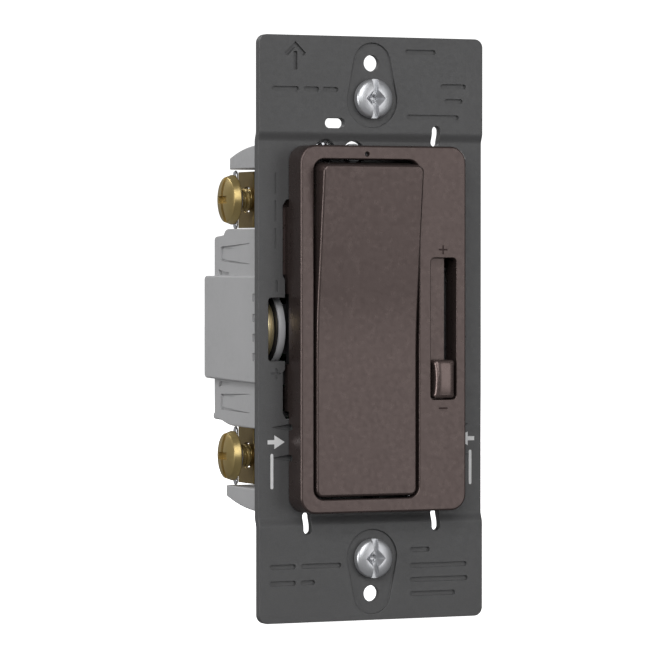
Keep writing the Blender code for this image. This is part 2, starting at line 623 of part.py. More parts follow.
def make_housing():
    """Rear housing: a deep tray with end blocks, terminal recesses and latch tabs in its sides."""
    housing = add_piece("rear_housing", slab("YZ", [middle_outline()], (-MID_X, MID_X)), "housing_grey")
    join(housing, slab("YZ", [block_outline()], (-BLOCK_X, BLOCK_X)),
         box((-CORE_X, CORE_X), (SEAT, CORE_BACK), (-30.8, 31.0)))
    for side, back in ((1, 16.65), (-1, 18.35)):
        join(housing, slab("YZ", [end_outline(side, back)], (-MID_X, MID_X)))
    for x, z in HOUSING_SCREWS:
        join(housing, rod((x, 0, z), "Y", 2.25, (SEAT, 9.5)))
    narrow, wide, block = CORE_X - WALL, MID_X - WALL, BLOCK_X - WALL
    boss, low, high = 28.3, -29.6, 29.8
    core = [(-narrow, low), (6.5, low), (6.5, -boss), (narrow, -boss), (narrow, high),
            (-6.5, high), (-6.5, boss), (-narrow, boss)]
    front = SEAT - THROUGH
    cut(housing, slab("XZ", [core], (front, CORE_BACK - WALL)),
        box((-6.5, narrow), (front, 6.0), (high - 1, 32.5)),
        box((-narrow, 6.5), (front, 6.0), (-31.9, low + 1)),
        box((-wide, wide), (front, MID_BACK - WALL), (-16.3, 16.3)),
        box((-block, block), (front, BLOCK_BACK - WALL), (BLOCK_Z[0] + WALL, BLOCK_Z[1] - WALL)))
    for x, z in HOUSING_SCREWS:
        cut(housing, rod((x, 0, z), "Y", 1.2, (front, 8.9), 12))
    for _, side, z, _ in TERMINALS:
        inward = -1 if z > 0 else 1
        edge = z + inward * (TERMINAL_HALF - 0.4)
        x = sorted((side * 11.0, side * 14.0))
        cut(housing, box(x, (13.2, 15.9), (edge - 0.8, edge + 0.8)))
    for side in (-1, 1):
        wall = sorted((side * (MID_X + 1), side * (wide - 0.2)))
        for root, tip in ((14.77, 15.55), (12.54, 11.8), (-12.53, -11.96), (-14.94, -15.4)):
            slit = [(20.9, root - 0.2), (20.9, root + 0.2), (7.2, tip + 0.03), (7.2, tip - 0.03)]
            cut(housing, slab("YZ", [slit], wall))
    return housing


def make_board():
    edge = [(-11, -28), (11, -28), (11, -15.5), (18.5, -15.5), (18.5, 15.5), (11, 15.5), (11, 29.3),
            (-6, 29.3), (-6, 28), (-11, 28), (-11, 15.5), (-18.5, 15.5), (-18.5, 7.8), (-16, 7.8),
            (-16, -7.8), (-18.5, -7.8), (-18.5, -15.5), (-11, -15.5)]
    add_piece("circuit_board", slab("XZ", [edge], BOARD_Y), "board")


def make_components():
    """The parts that a phase-cut dimmer needs: choke, capacitor, surge disc, triac and indicator."""
    back = BOARD_Y[1] + GAP
    drum = lathe([(0, 11.4), (7.6, 11.4), (7.6, 9.9), (3.5, 9.9), (3.5, 1.5), (7.6, 1.5), (7.6, 0), (0, 0)])
    add_piece("choke_core", aim(drum, (0, 1, 0), (1, back, 0)), "ferrite")
    winding = lathe([(3.8, 9.6), (7.0, 9.6), (7.3, 8.6), (7.3, 2.8), (7.0, 1.8), (3.8, 1.8), (3.8, 9.6)])
    add_piece("choke_winding", aim(winding, (0, 1, 0), (1, back, 0)), "copper")
    capacitor = round_edges(box((-15.9, -7.2), (back, back + 8.5), (-7.5, 7.5)), 0.8, lambda a, b: True)
    add_piece("film_capacitor", capacitor, "film_yellow")
    disc = rod((0, back + 5.2, 0), "X", 5.0, (12.5, 16.0), ROUND)
    add_piece("surge_varistor", disc, "disc_blue")
    triac = add_piece("triac", box((-5, 5), (SEAT, SEAT + 4.4), (-24.9, -16)), "black")
    join(triac, box((-5, 5), (SEAT, SEAT + 1.3), (-31.2, -24)))
    cut(triac, rod((0, 0, -28.5), "Y", 1.9, (0, 4)))
    rivet = lathe([(0, 0.5), (2.6, 0.5), (2.6, 0), (1.6, 0), (1.6, -3.6), (2.4, -3.6), (2.4, -4.2), (0, -4.2)],
                  SMALL)
    add_piece("triac_rivet", aim(rivet, (0, -1, 0), (0, FRAME_BASE, -28.5)), "steel")
    lens = add_piece("indicator_lens", rod((LENS_X, 0, LENS_BASE_Z), "Y", 1.75, (STRAP_FRONT, SEAT - GAP)),
                     "clear")
    join(lens, rod((LENS_X, 0, LENS_Z), "Y", 0.7, (-5.6, 1.9), 12))
    lamp = lathe([(0, 9.0), (0.6, 8.7), (0.95, 8.0), (0.95, 3.5), (0.5, 3.5), (0.5, 0), (0, 0)], SMALL)
    lamp = aim(lamp, (0, -1, 0), (LENS_X, BOARD_Y[0] - GAP, 28.0))
    add_piece("indicator_lamp", lamp, "clear")
    for name, (x, z) in zip(("upper", "lower"), HOUSING_SCREWS):
        head = lathe([(0, 1.0), (1.1, 0.85), (1.6, 0.4), (1.6, 0), (0.9, 0), (0.9, -7.5), (0, -7.5)], SMALL)
        screw = add_piece(f"housing_screw_{name}", aim(head, (0, -1, 0), (x, SEAT - GAP, z)), "steel")
        cut(screw, box((x - 0.25, x + 0.25), (-1.5, 0.05), (z - 2, z + 2)))


# --- side terminals --------------------------------------------------------------------------

def terminal_plate(name, side, z):
    """Brass plate that bulges round its tapped hole, with a leg through the housing wall."""
    bulge, front, back, half, thick = 3.9, 13.75, 20.6, TERMINAL_HALF, 0.8
    leg_tip, leg_back = 10.2, 15.6
    swing = math.degrees(math.acos((TERMINAL_Y - front) / bulge))
    outline = [(back, z - half), (back, z + half), (front, z + half)]
    outline += arc(TERMINAL_Y, z, bulge, 180 - swing, 180 + swing, 6)
    outline += [(front, z - half)]
    x = sorted((side * TERMINAL_X, side * (TERMINAL_X - thick)))
    hole = circle(TERMINAL_Y, z, TERMINAL_SHANK_R + GAP, SMALL)
    plate = add_piece(f"terminal_plate_{name}", slab("YZ", [outline, hole], x), "brass")
    inward = -1 if z > 0 else 1
    leg = sorted((z + inward * half, z + inward * (half - thick)))
    join(plate, box((side * (TERMINAL_X - thick / 2), side * leg_tip), (front, leg_back), leg))


def terminal_screw(name, side, z, finish):
    origin = (side * HEAD_X, TERMINAL_Y, z)
    top = HEAD_T + 0.9
    profile = [(0, top), (HEAD_FACE_R * 0.55, top - 0.25), (HEAD_FACE_R, HEAD_T), (HEAD_R, HEAD_T - 0.4),
               (HEAD_R, 0), (TERMINAL_SHANK_R, 0), (TERMINAL_SHANK_R, -TERMINAL_TIP + 0.6),
               (TERMINAL_SHANK_R - 0.5, -TERMINAL_TIP), (0, -TERMINAL_TIP)]
    screw = add_piece(f"terminal_screw_{name}", aim(lathe(profile), (side, 0, 0), origin), finish, origin)
    x = sorted((side * (HEAD_X + 1.15), side * (HEAD_X + 4)))
    cut(screw, box(x, (TERMINAL_Y - 0.55, TERMINAL_Y + 0.55), (z - 6, z + 6)),
        box(x, (TERMINAL_Y - 2.0, TERMINAL_Y + 2.0), (z - 0.75, z + 0.75)))


def terminal_washer(name, side, z):
    """Captive washer under the head, with two ears that keep it from turning."""
    ear, reach, disc = 0.8, 5.4, 4.2
    lean = math.degrees(math.asin(ear / disc))
    outline = (arc(TERMINAL_Y, z, disc, -90 + lean, 90 - lean, 8)
               + [(TERMINAL_Y + ear, z + reach), (TERMINAL_Y - ear, z + reach)]
               + arc(TERMINAL_Y, z, disc, 90 + lean, 270 - lean, 8)
               + [(TERMINAL_Y - ear, z - reach), (TERMINAL_Y + ear, z - reach)])
    x = sorted((side * (HEAD_X - GAP), side * (HEAD_X - 1.0)))
    hole = circle(TERMINAL_Y, z, TERMINAL_SHANK_R + GAP, SMALL)
    add_piece(f"terminal_washer_{name}", slab("YZ", [outline, hole], x), "silver",
              (side * (HEAD_X - GAP), TERMINAL_Y, z))


def make_terminals():
    for name, side, z, finish in TERMINALS:
        terminal_plate(name, side, z)
        terminal_screw(name, side, z, finish)
        terminal_washer(name, side, z)


clear_scene()
PIECES = new_collection("dimmer_slide_switch")
CUTTERS = new_collection("cutters")
make_strap()
make_mounting_screws()
make_face_frame()
make_rocker()
make_contacts()
make_slider()
make_dial()
make_deck()
make_housing()
make_board()
make_components()
make_terminals()
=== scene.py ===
"""Looks for the dimmer slide switch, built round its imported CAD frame.

Shapes are modelled in millimetres in the frame's own axes: X to the right seen from the
front, -Y towards the user, +Z up. Pieces become metres when they are made.
"""
import json
from math import acos, asin, copysign, cos, degrees, pi, radians, sin, tan

import bmesh
import bpy
from mathutils import Matrix, Vector

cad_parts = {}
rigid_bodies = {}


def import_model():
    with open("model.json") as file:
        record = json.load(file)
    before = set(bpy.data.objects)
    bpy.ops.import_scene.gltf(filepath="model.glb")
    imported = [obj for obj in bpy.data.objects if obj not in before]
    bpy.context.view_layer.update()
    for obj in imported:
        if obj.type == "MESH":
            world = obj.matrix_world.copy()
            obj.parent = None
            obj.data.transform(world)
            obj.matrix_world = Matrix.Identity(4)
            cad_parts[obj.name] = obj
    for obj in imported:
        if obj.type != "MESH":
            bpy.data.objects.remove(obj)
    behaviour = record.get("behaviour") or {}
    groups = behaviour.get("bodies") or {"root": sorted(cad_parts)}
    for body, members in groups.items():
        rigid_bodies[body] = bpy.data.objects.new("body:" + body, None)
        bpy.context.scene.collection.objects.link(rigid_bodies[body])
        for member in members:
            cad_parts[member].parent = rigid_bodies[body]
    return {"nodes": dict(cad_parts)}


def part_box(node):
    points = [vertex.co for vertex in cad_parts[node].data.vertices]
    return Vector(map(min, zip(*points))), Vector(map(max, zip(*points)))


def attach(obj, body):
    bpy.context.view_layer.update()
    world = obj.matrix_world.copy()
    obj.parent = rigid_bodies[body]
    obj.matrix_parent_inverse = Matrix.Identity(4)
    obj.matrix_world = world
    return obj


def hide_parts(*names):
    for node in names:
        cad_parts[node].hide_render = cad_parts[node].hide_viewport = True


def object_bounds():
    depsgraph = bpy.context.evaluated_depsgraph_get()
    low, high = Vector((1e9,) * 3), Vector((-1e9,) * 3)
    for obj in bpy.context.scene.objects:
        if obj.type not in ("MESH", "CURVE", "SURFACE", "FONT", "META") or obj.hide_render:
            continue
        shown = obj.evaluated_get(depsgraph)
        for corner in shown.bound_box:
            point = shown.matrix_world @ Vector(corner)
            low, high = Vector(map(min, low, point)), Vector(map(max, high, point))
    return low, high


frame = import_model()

CAD_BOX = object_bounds()
MM = 0.001
GAP = 0.3
THROUGH = 1.0               # how far a cutter reaches past a face
OVERSHOOT = 0.6
POINT_R = 0.001             # radius of the tiny ring that closes a turned shape
SMOOTH_DEG = 34             # edges sharper than this stay hard
ROOT = "dimmer_body"
COLLECTION = bpy.context.scene.collection.objects


def extent(node):
    """A CAD node's box in millimetres, as ((x0, x1), (y0, y1), (z0, z1))."""
    low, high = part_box(node)
    return tuple((low[i] / MM, high[i] / MM) for i in range(3))


# Mounting strap
STRAP_X, STRAP_Y, STRAP_Z = extent("mounting_strap")
STRAP_T = 1.7
STRAP_SETBACK = STRAP_Y[1]
STRAP_FRONT = STRAP_SETBACK - STRAP_T       # front plane of the set-back middle
BEND_OUTER, BEND_INNER = 35.9, 33.9
MOUNT_Z, PLATE_Z = 41.67, 48.42
RECESS_R, RECESS_TIP_R, RECESS_FLOOR = 5.0, 3.7, -1.2
PRY_Z = (-17.75, -23.3)
HOUSING_SCREWS = ((-9.1, 32.4), (9.1, -31.1))

# Face frame
_, FRAME_Y, FRAME_Z = extent("face_frame")
FRAME_W = 33.0
FRAME_FRONT = FRAME_Y[0]
FRAME_BASE = STRAP_FRONT - GAP
FRAME_SKIN, FRAME_WALL = 1.65, 1.5
SLOT_SKIN_BACK = -3.1
ROCKER_X, ROCKER_Z = (-13.9, 7.0), 30.7
SLOT_X, SLOT_Z, SLOT_FLOOR = (9.35, 14.5), 12.9, -5.0
LENS_X, LENS_Z, LENS_BASE_Z = -3.4, 31.7, 32.0

SIDE_WALL = (-FRAME_W / 2, FRAME_WALL - FRAME_W / 2)

# Rocker
PADDLE_X = (-13.4, 6.55)
PADDLE_Z, PADDLE_BACK = 30.25, -2.0
PADDLE_TOP = 29.63                          # height that the leaning top edge reaches
HINGE_Y, ROCK_DEG = -3.0, 6.3
PADDLE_WALL, PADDLE_FILLET = 1.2, 0.45
PIVOT_R = 1.0
POST_X = -3.4

# Slider
KNOB_X, KNOB_Z = (9.85, 14.0), (-12.7, -5.7)
KNOB_CROWN, KNOB_ENDS, KNOB_WAIST = -7.9, -7.6, 0.22
STEM_X = (13.2, 14.0)

# Dial
DIAL_X, DIAL_Y, DIAL_R = (-17.8, -16.4), 7.0, 7.0

# Housing
SEAT = STRAP_SETBACK + GAP
WALL = 1.3
CORE_X, CORE_BACK = 13.0, 17.5
MID_X, MID_BACK, MID_Z = 20.6, 24.1, (-18.2, 18.3)
BLOCK_X, BLOCK_BACK, BLOCK_Z = 21.5, 26.9, (-9.86, 9.61)
END_Z = ((29.2, 33.5), (-29.1, -33.3))
END_BACKS = (16.65, 18.35)

# Terminals
TERMINAL_NAMES = ("upper_left", "lower_left", "upper_right", "lower_right")
TERMINAL_Y, TERMINAL_X, TERMINAL_HALF = 16.5, 17.2, 5.0
HEAD_X, HEAD_R, HEAD_T, HEAD_DOME = 19.96, 4.6, 1.4, 0.9
SHANK_R, SHANK_TIP, SHANK_PITCH = 2.1, 5.15, 0.794


# --- shapes, all in millimetres ----------

def arc(u, v, radius, start, end, steps=8):
    """Points on a circle from one angle to another, in degrees."""
    angles = [radians(start + (end - start) * i / steps) for i in range(steps + 1)]
    return [(u + radius * cos(a), v + radius * sin(a)) for a in angles]


def circle(u, v, radius, sides=48):
    return arc(u, v, radius, 0, 360 * (sides - 1) / sides, sides - 1)


def rounded(u, v, radius, inset=0.0, steps=8):
    """A rectangle with round corners, shrunk by inset while keeping its number of points."""
    (u0, u1), (v0, v1) = u, v
    r = max(radius - inset, 0.02)
    c = radius if radius > inset else inset
    return (arc(u0 + c, v0 + c, r, 180, 270, steps) + arc(u1 - c, v0 + c, r, 270, 360, steps)
            + arc(u1 - c, v1 - c, r, 0, 90, steps) + arc(u0 + c, v1 - c, r, 90, 180, steps))


def place(points, plane, depth):
    """Outline points put into space at a depth along the plane's normal axis."""
    if plane == "XZ":
        return [Vector((u, depth, v)) for u, v in points]
    if plane == "YZ":
        return [Vector((depth, u, v)) for u, v in points]
    return [Vector((u, v, depth)) for u, v in points]


def skin(rings):
    """Walls through rings that have the same number of points, and their vertices by ring."""
    bm = bmesh.new()
    levels = [[bm.verts.new(p) for p in points] for points in rings]
    count = len(levels[0])
    for low, high in zip(levels, levels[1:]):
        for i in range(count):
            j = (i + 1) % count
            bm.faces.new((low[i], low[j], high[j], high[i]))
    return bm, levels


def loft(rings, caps=True):
    """A solid through rings, closed at both ends unless the last ring meets the first."""
    bm, levels = skin(rings)
    if caps:
        bm.faces.new(levels[0])
        bm.faces.new(levels[-1][::-1])
    bmesh.ops.recalc_face_normals(bm, faces=bm.faces)
    return bm


def prism(plane, outline, span):
    """A straight solid of an outline between two depths."""
    return loft([place(outline, plane, depth) for depth in span])


def fillet_levels(radius, steps=5):
    """(inset, depth) pairs round a quarter circle, from the flat face down to the side."""
    angles = [pi / 2 * i / steps for i in range(steps + 1)]
    return [(radius * (1 - sin(a)), radius * (1 - cos(a))) for a in angles]


def bar(plane, shape, span, radius=0.15, back_radius=None, steps=3):
    """A straight solid of an outline function shape(inset), with round edges at both ends."""
    low, high = min(span), max(span)
    back_radius = radius if back_radius is None else back_radius
    rings = [place(shape(inset), plane, low + depth) for inset, depth in fillet_levels(radius, steps)]
    rings += [place(shape(inset), plane, high - depth)
              for inset, depth in fillet_levels(back_radius, steps)[::-1]]
    return loft(rings)


def pocket(plane, shape, mouth, floor, rim=0.2, bottom=0.15):
    """A cutter whose mouth flares out, so that the cut leaves a round rim and a round floor."""
    way = 1 if floor > mouth else -1
    rings = [place(shape(-rim), plane, mouth - way * OVERSHOOT)]
    rings += [place(shape(-inset), plane, mouth + way * depth) for inset, depth in fillet_levels(rim, 4)]
    if bottom:
        rings += [place(shape(inset), plane, floor - way * depth)
                  for inset, depth in fillet_levels(bottom, 4)[::-1]]
    else:
        rings.append(place(shape(0.0), plane, floor))
    return loft(rings)


def box(x, y, z):
    bm = bmesh.new()
    bmesh.ops.create_cube(bm, size=1.0)
    low, high = Vector((min(x), min(y), min(z))), Vector((max(x), max(y), max(z)))
    bmesh.ops.scale(bm, verts=bm.verts, vec=high - low)
    bmesh.ops.translate(bm, verts=bm.verts, vec=(low + high) / 2)
    return bm


def soft_box(x, y, z, radius, segments=3):
    """A box with all its edges rounded."""
    bm = box(x, y, z)
    bmesh.ops.bevel(bm, geom=bm.edges[:], offset=radius, segments=segments, profile=0.5, affect="EDGES")
    return bm


AXES = {"X": Vector((1, 0, 0)), "Y": Vector((0, 1, 0)), "Z": Vector((0, 0, 1))}


def aim(bm, direction, origin=(0.0, 0.0, 0.0)):
    """Turns a shape made along +Z to a direction and moves it to a point."""
    turn = AXES["Z"].rotation_difference(Vector(direction)).to_matrix()
    bmesh.ops.rotate(bm, verts=bm.verts, matrix=turn)
    bmesh.ops.translate(bm, verts=bm.verts, vec=Vector(origin))
    return bm


def tilt(bm, degrees, y):
    """Turns a shape about the X direction through (y, 0)."""
    turn = Matrix.Rotation(radians(degrees), 3, "X")
    bmesh.ops.rotate(bm, verts=bm.verts, cent=(0, y, 0), matrix=turn)
    return bm


def ring(radius, height, sides):
    """Points of a circle about +Z."""
    r = max(radius, POINT_R)
    angles = [2 * pi * i / sides for i in range(sides)]
    return [Vector((r * cos(a), r * sin(a), height)) for a in angles]


def turned(profile, sides=64):
    """A turned solid about +Z from (radius, height) points; end radii of 0 close it."""
    return loft([ring(radius, height, sides) for radius, height in profile])


def ring_turned(profile, sides=64):
    """A turned ring about +Z from a closed (radius, height) profile."""
    bm = loft([ring(radius, height, sides) for radius, height in profile], caps=False)
    bmesh.ops.remove_doubles(bm, verts=bm.verts, dist=0.0001)
    bmesh.ops.recalc_face_normals(bm, faces=bm.faces)
    return bm


def rod(centre, axis, radius, span, sides=48, edge=0.0):
    """A cylinder along a world axis between two coordinates, with its rims eased."""
    length = span[1] - span[0]
    profile = [(radius - edge, 0.0), (radius, edge), (radius, length - edge), (radius - edge, length)]
    if edge == 0.0:
        profile = [(radius, 0.0), (radius, length)]
    start = Vector(centre)
    start["XYZ".index(axis)] = span[0]
    return aim(turned(profile, sides), AXES[axis], start)


def threaded(head, shank_radius, length, pitch, depth, sides=40, per_turn=8):
    """Head profile points, then a shank whose surface follows a helix, about +Z."""
    rings = [ring(radius, height, sides) for radius, height in head]
    start, plain, flank = -0.35, 0.8, 1.35
    count = int((length - plain) / pitch * per_turn)
    for level in range(count + 1):
        height = start - (length - plain) * level / count
        fade = min(1.0, level / per_turn) * min(1.0, (count - level) / per_turn * 2 + 0.1)
        points = []
        for i in range(sides):
            angle = 2 * pi * i / sides
            swing = abs(2 * ((height / pitch - i / sides) % 1.0) - 1)
            r = shank_radius - depth * fade * max(0.0, 1 - flank * swing)
            points.append(Vector((r * cos(angle), r * sin(angle), height)))
        rings.append(points)
    root = shank_radius - depth
    tip = ((root, -length + 0.25), (root - 0.3, -length), (0, -length))
    return loft(rings + [ring(radius, height, sides) for radius, height in tip])


def plate(plane, outlines, span, edge=0.12, resolution=2):
    """A flat plate with holes, from a filled curve whose edges are rounded."""
    curve = bpy.data.curves.new("outline", "CURVE")
    curve.dimensions = "2D"
    curve.fill_mode = "BOTH"
    curve.extrude = (max(span) - min(span)) / 2 - edge
    curve.bevel_depth = edge
    curve.bevel_resolution = resolution
    curve.offset = -edge
    for points in outlines:
        spline = curve.splines.new("POLY")
        spline.points.add(len(points) - 1)
        for spot, (u, v) in zip(spline.points, points):
            spot.co = (u, v, 0.0, 1.0)
        spline.use_cyclic_u = True
    bm = evaluated(bpy.data.objects.new("outline", curve))
    bmesh.ops.remove_doubles(bm, verts=bm.verts, dist=0.0005)
    turn = {"XZ": Matrix(((1, 0, 0), (0, 0, -1), (0, 1, 0))),
            "YZ": Matrix(((0, 0, 1), (1, 0, 0), (0, 1, 0))),
            "XY": Matrix.Identity(3)}[plane]
    bmesh.ops.transform(bm, matrix=turn.to_4x4(), verts=bm.verts)
    shift = Vector([abs(t) for t in turn.col[2]]) * sum(span) / 2
    bmesh.ops.translate(bm, verts=bm.verts, vec=shift)
    bmesh.ops.recalc_face_normals(bm, faces=bm.faces)
    return bm


# --- mesh work ----------

def evaluated(obj):
    """The object's mesh with its modifiers, as a bmesh; the object is removed."""
    if obj.name not in COLLECTION:
        COLLECTION.link(obj)
    bpy.context.view_layer.update()
    mesh = bpy.data.meshes.new_from_object(obj.evaluated_get(bpy.context.evaluated_depsgraph_get()))
    bpy.data.objects.remove(obj, do_unlink=True)
    bm = bmesh.new()
    bm.from_mesh(mesh)
    bpy.data.meshes.remove(mesh)
    return bm


def holder(bm, name="work"):
    mesh = bpy.data.meshes.new(name)
    bm.to_mesh(mesh)
    bm.free()
    return bpy.data.objects.new(name, mesh)


def combine(bm, operation, shapes):
    """Joins the base with each shape, or cuts each shape from it."""
    target = holder(bm)
    tools = []
    for shape in shapes:
        tool = holder(shape, "tool")
        COLLECTION.link(tool)
        tools.append(tool)
        modifier = target.modifiers.new("boolean", "BOOLEAN")
        modifier.operation = operation
        modifier.object = tool
        modifier.solver = "EXACT"
    result = evaluated(target)
    for tool in tools:
        bpy.data.objects.remove(tool, do_unlink=True)
    return result


def cut(bm, *shapes):
    return combine(bm, "DIFFERENCE", shapes)


def join(bm, *shapes):
    return combine(bm, "UNION", shapes)


def merged(*shapes):
    """Separate closed shapes gathered in one mesh without joining them."""
    whole = bmesh.new()
    for shape in shapes:
        mesh = bpy.data.meshes.new("part")
        shape.to_mesh(mesh)
        shape.free()
        whole.from_mesh(mesh)
        bpy.data.meshes.remove(mesh)
    return whole


def eased(bm, width, angle=32, segments=2):
    """Rounds every edge sharper than an angle."""
    bmesh.ops.remove_doubles(bm, verts=bm.verts, dist=0.002)
    bmesh.ops.dissolve_limit(bm, angle_limit=radians(0.4), verts=bm.verts, edges=bm.edges)
    obj = holder(bm)
    bevel = obj.modifiers.new("bevel", "BEVEL")
    bevel.width = width
    bevel.segments = segments
    bevel.limit_method = "ANGLE"
    bevel.angle_limit = radians(angle)
    bevel.use_clamp_overlap = True
    return evaluated(obj)


def make(name, bm, body, material, replaces=()):
    """Turns a bmesh into a named piece that rides on a body and stands for CAD nodes."""
    bmesh.ops.scale(bm, verts=bm.verts, vec=(MM, MM, MM))
    bmesh.ops.recalc_face_normals(bm, faces=bm.faces)
    mesh = bpy.data.meshes.new(name)
    bm.to_mesh(mesh)
    bm.free()
    mesh.shade_smooth()
    mesh.set_sharp_from_angle(angle=radians(SMOOTH_DEG))
    obj = bpy.data.objects.new(name, mesh)
    COLLECTION.link(obj)
    weighted = obj.modifiers.new("normals", "WEIGHTED_NORMAL")
    weighted.keep_sharp = True
    weighted.weight = 100
    bpy.context.view_layer.update()
    final = bpy.data.meshes.new_from_object(obj.evaluated_get(bpy.context.evaluated_depsgraph_get()))
    obj.modifiers.clear()
    obj.data = final
    bpy.data.meshes.remove(mesh)
    final.name = name
    final.materials.clear()
    final.materials.append(material)
    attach(obj, body)
    if replaces:
        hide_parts(*replaces)
    return obj


# --- materials ----------

class Nodes:
    """A small helper for wiring a procedural material."""

    def __init__(self, name):
        self.material = bpy.data.materials.new(name)
        self.material.use_nodes = True
        self.tree = self.material.node_tree
        self.shader = self.tree.nodes["Principled BSDF"]
        self.where = self.tree.nodes.new("ShaderNodeTexCoord").outputs["Object"]

    def add(self, kind, **values):
        node = self.tree.nodes.new(kind)
        for key, value in values.items():
            setattr(node, key, value)
        return node

    def put(self, socket, value):
        """Gives an input a constant, or a link when the value is another node's output."""
        if isinstance(value, bpy.types.NodeSocket):
            self.tree.links.new(value, socket)
        else:
            socket.default_value = value

    def surface(self, **values):
        """Sets the shader's inputs; Base_Color stands for the input named Base Color."""
        for key, value in values.items():
            self.put(self.shader.inputs[key.replace("_", " ")], value)

    def noise(self, scale, detail=2.0, roughness=0.5, vector=None, dimensions="3D"):
        node = self.add("ShaderNodeTexNoise", noise_dimensions=dimensions)
        for key, value in (("Scale", scale), ("Detail", detail), ("Roughness", roughness),
                           ("W" if dimensions == "1D" else "Vector", vector or self.where)):
            self.put(node.inputs[key], value)
        return node.outputs["Fac"]

    def spread(self, value, low, high, start=0.3, end=0.7):
        node = self.add("ShaderNodeMapRange")
        for key, entry in (("From Min", start), ("From Max", end), ("To Min", low), ("To Max", high),
                           ("Value", value)):
            self.put(node.inputs[key], entry)
        return node.outputs["Result"]

    def blend(self, factor, first, second):
        """A mix of two colours, each a tuple or an output."""
        node = self.add("ShaderNodeMix", data_type="RGBA")
        for index, value in ((0, factor), (6, first), (7, second)):
            self.put(node.inputs[index], (*value, 1.0) if isinstance(value, tuple) else value)
        return node.outputs[2]

    def vector(self, operation, source, operand=(0.0, 0.0, 0.0)):
        node = self.add("ShaderNodeVectorMath", operation=operation)
        self.put(node.inputs[0], source)
        self.put(node.inputs[1], operand)
        return node.outputs["Value" if operation == "LENGTH" else "Vector"]

    def radius(self, centre, axis):
        """Distance from an axis through a centre given in millimetres."""
        offset = self.vector("SUBTRACT", self.where, Vector(centre) * MM)
        return self.vector("LENGTH", self.vector("MULTIPLY", offset, [float(a != axis) for a in "XYZ"]))

    def bump(self, heights):
        """Adds bumps in turn from (height, distance in mm, strength) entries."""
        normal = None
        for height, distance, strength in heights:
            node = self.add("ShaderNodeBump")
            for key, value in (("Strength", strength), ("Distance", distance * MM), ("Height", height)):
                self.put(node.inputs[key], value)
            if normal is not None:
                self.put(node.inputs["Normal"], normal)
            normal = node.outputs["Normal"]
        self.surface(Normal=normal)


def shade(colour, amount):
    return tuple(min(1.0, c * amount) for c in colour)


def plastic(name, colour, roughness, grain=0.012, grain_scale=3200.0, mottle=0.08, specular=0.5, flake=0.0):
    """Moulded plastic: spark-eroded grain, faint flow mottling and uneven gloss; flake is metallic."""
    n = Nodes(name)
    flow = n.noise(70.0, 4.0, 0.6)
    fine = n.noise(grain_scale, 3.0, 0.65)
    speck = n.noise(grain_scale * 0.35, 2.0)
    tone = n.blend(n.spread(flow, 0.0, 1.0), shade(colour, 1 - mottle), shade(colour, 1 + mottle))
    n.surface(Base_Color=n.blend(n.spread(speck, 0.0, 1.0), tone, shade(colour, 1 + mottle * 0.6)),
              Roughness=n.spread(speck, roughness - 0.05, roughness + 0.06),
              Specular_IOR_Level=specular, Metallic=flake)
    n.bump([(fine, grain, 0.6), (speck, grain * 0.6, 0.25)])
    return n.material


def paint(name, colour, roughness):
    """Powder coat: fine orange peel over a faint grit, thinner and lighter in places."""
    n = Nodes(name)
    cloud = n.noise(60.0, 4.0, 0.55)
    peel = n.noise(1500.0, 2.0, 0.5)
    grit = n.noise(5200.0, 2.0, 0.7)
    tone = n.blend(n.spread(cloud, 0.0, 1.0), shade(colour, 0.93), shade(colour, 1.07))
    n.surface(Base_Color=n.blend(n.spread(grit, 0.0, 0.5, 0.35, 0.75), tone, shade(colour, 1.35)),
              Roughness=n.spread(peel, roughness - 0.06, roughness + 0.07))
    n.bump([(peel, 0.02, 0.45), (grit, 0.008, 0.6)])
    return n.material


def metal(name, colour, roughness, tarnish, centre=None, axis="X", streak=None, fill=0.0):
    """Bare or plated metal: lathe marks round an axis or drawn streaks, with patchy tarnish."""
    n = Nodes(name)
    patch = n.noise(260.0, 3.0, 0.5)
    if centre is not None:
        marks = n.noise(6000.0, 2.0, 0.6, n.radius(centre, axis), "1D")
    elif streak is not None:
        marks = n.noise(900.0, 3.0, 0.6, n.vector("MULTIPLY", n.where, streak))
    else:
        marks = n.noise(1400.0, 3.0, 0.6)
    fine = n.noise(2600.0, 3.0, 0.6)
    n.surface(Base_Color=n.blend(n.spread(patch, 0.0, 0.6, 0.35, 0.75), colour, tarnish),
              Metallic=1.0 - fill, Roughness=n.spread(fine, roughness - 0.03, roughness + 0.05))
    n.bump([(marks, 0.0016, 0.5), (fine, 0.0006, 0.4)])
    return n.material


def clear(name, colour, roughness):
    """Clear plastic with a faint haze."""
    n = Nodes(name)
    haze = n.noise(500.0, 3.0)
    n.surface(Base_Color=n.blend(n.spread(haze, 0.0, 1.0), colour, shade(colour, 0.86)),
              Roughness=n.spread(haze, roughness, roughness + 0.12), Transmission_Weight=0.55, IOR=1.49)
    n.bump([(haze, 0.01, 0.3)])
    return n.material


def board_material(name):
    """Circuit board: green mask over copper tracks that show as slightly raised lighter lines."""
    n = Nodes(name)
    brick = n.add("ShaderNodeTexBrick")
    for key, value in (("Scale", 330.0), ("Mortar Size", 0.06), ("Vector", n.where)):
        n.put(brick.inputs[key], value)
    tracks = brick.outputs["Fac"]
    grain = n.noise(1800.0, 3.0)
    base = n.blend(n.spread(grain, 0.0, 1.0), (0.012, 0.10, 0.035), (0.02, 0.15, 0.05))
    n.surface(Base_Color=n.blend(tracks, base, (0.05, 0.25, 0.09)), Roughness=n.spread(grain, 0.28, 0.42))
    n.bump([(tracks, 0.03, 0.5), (grain, 0.008, 0.4)])
    return n.material


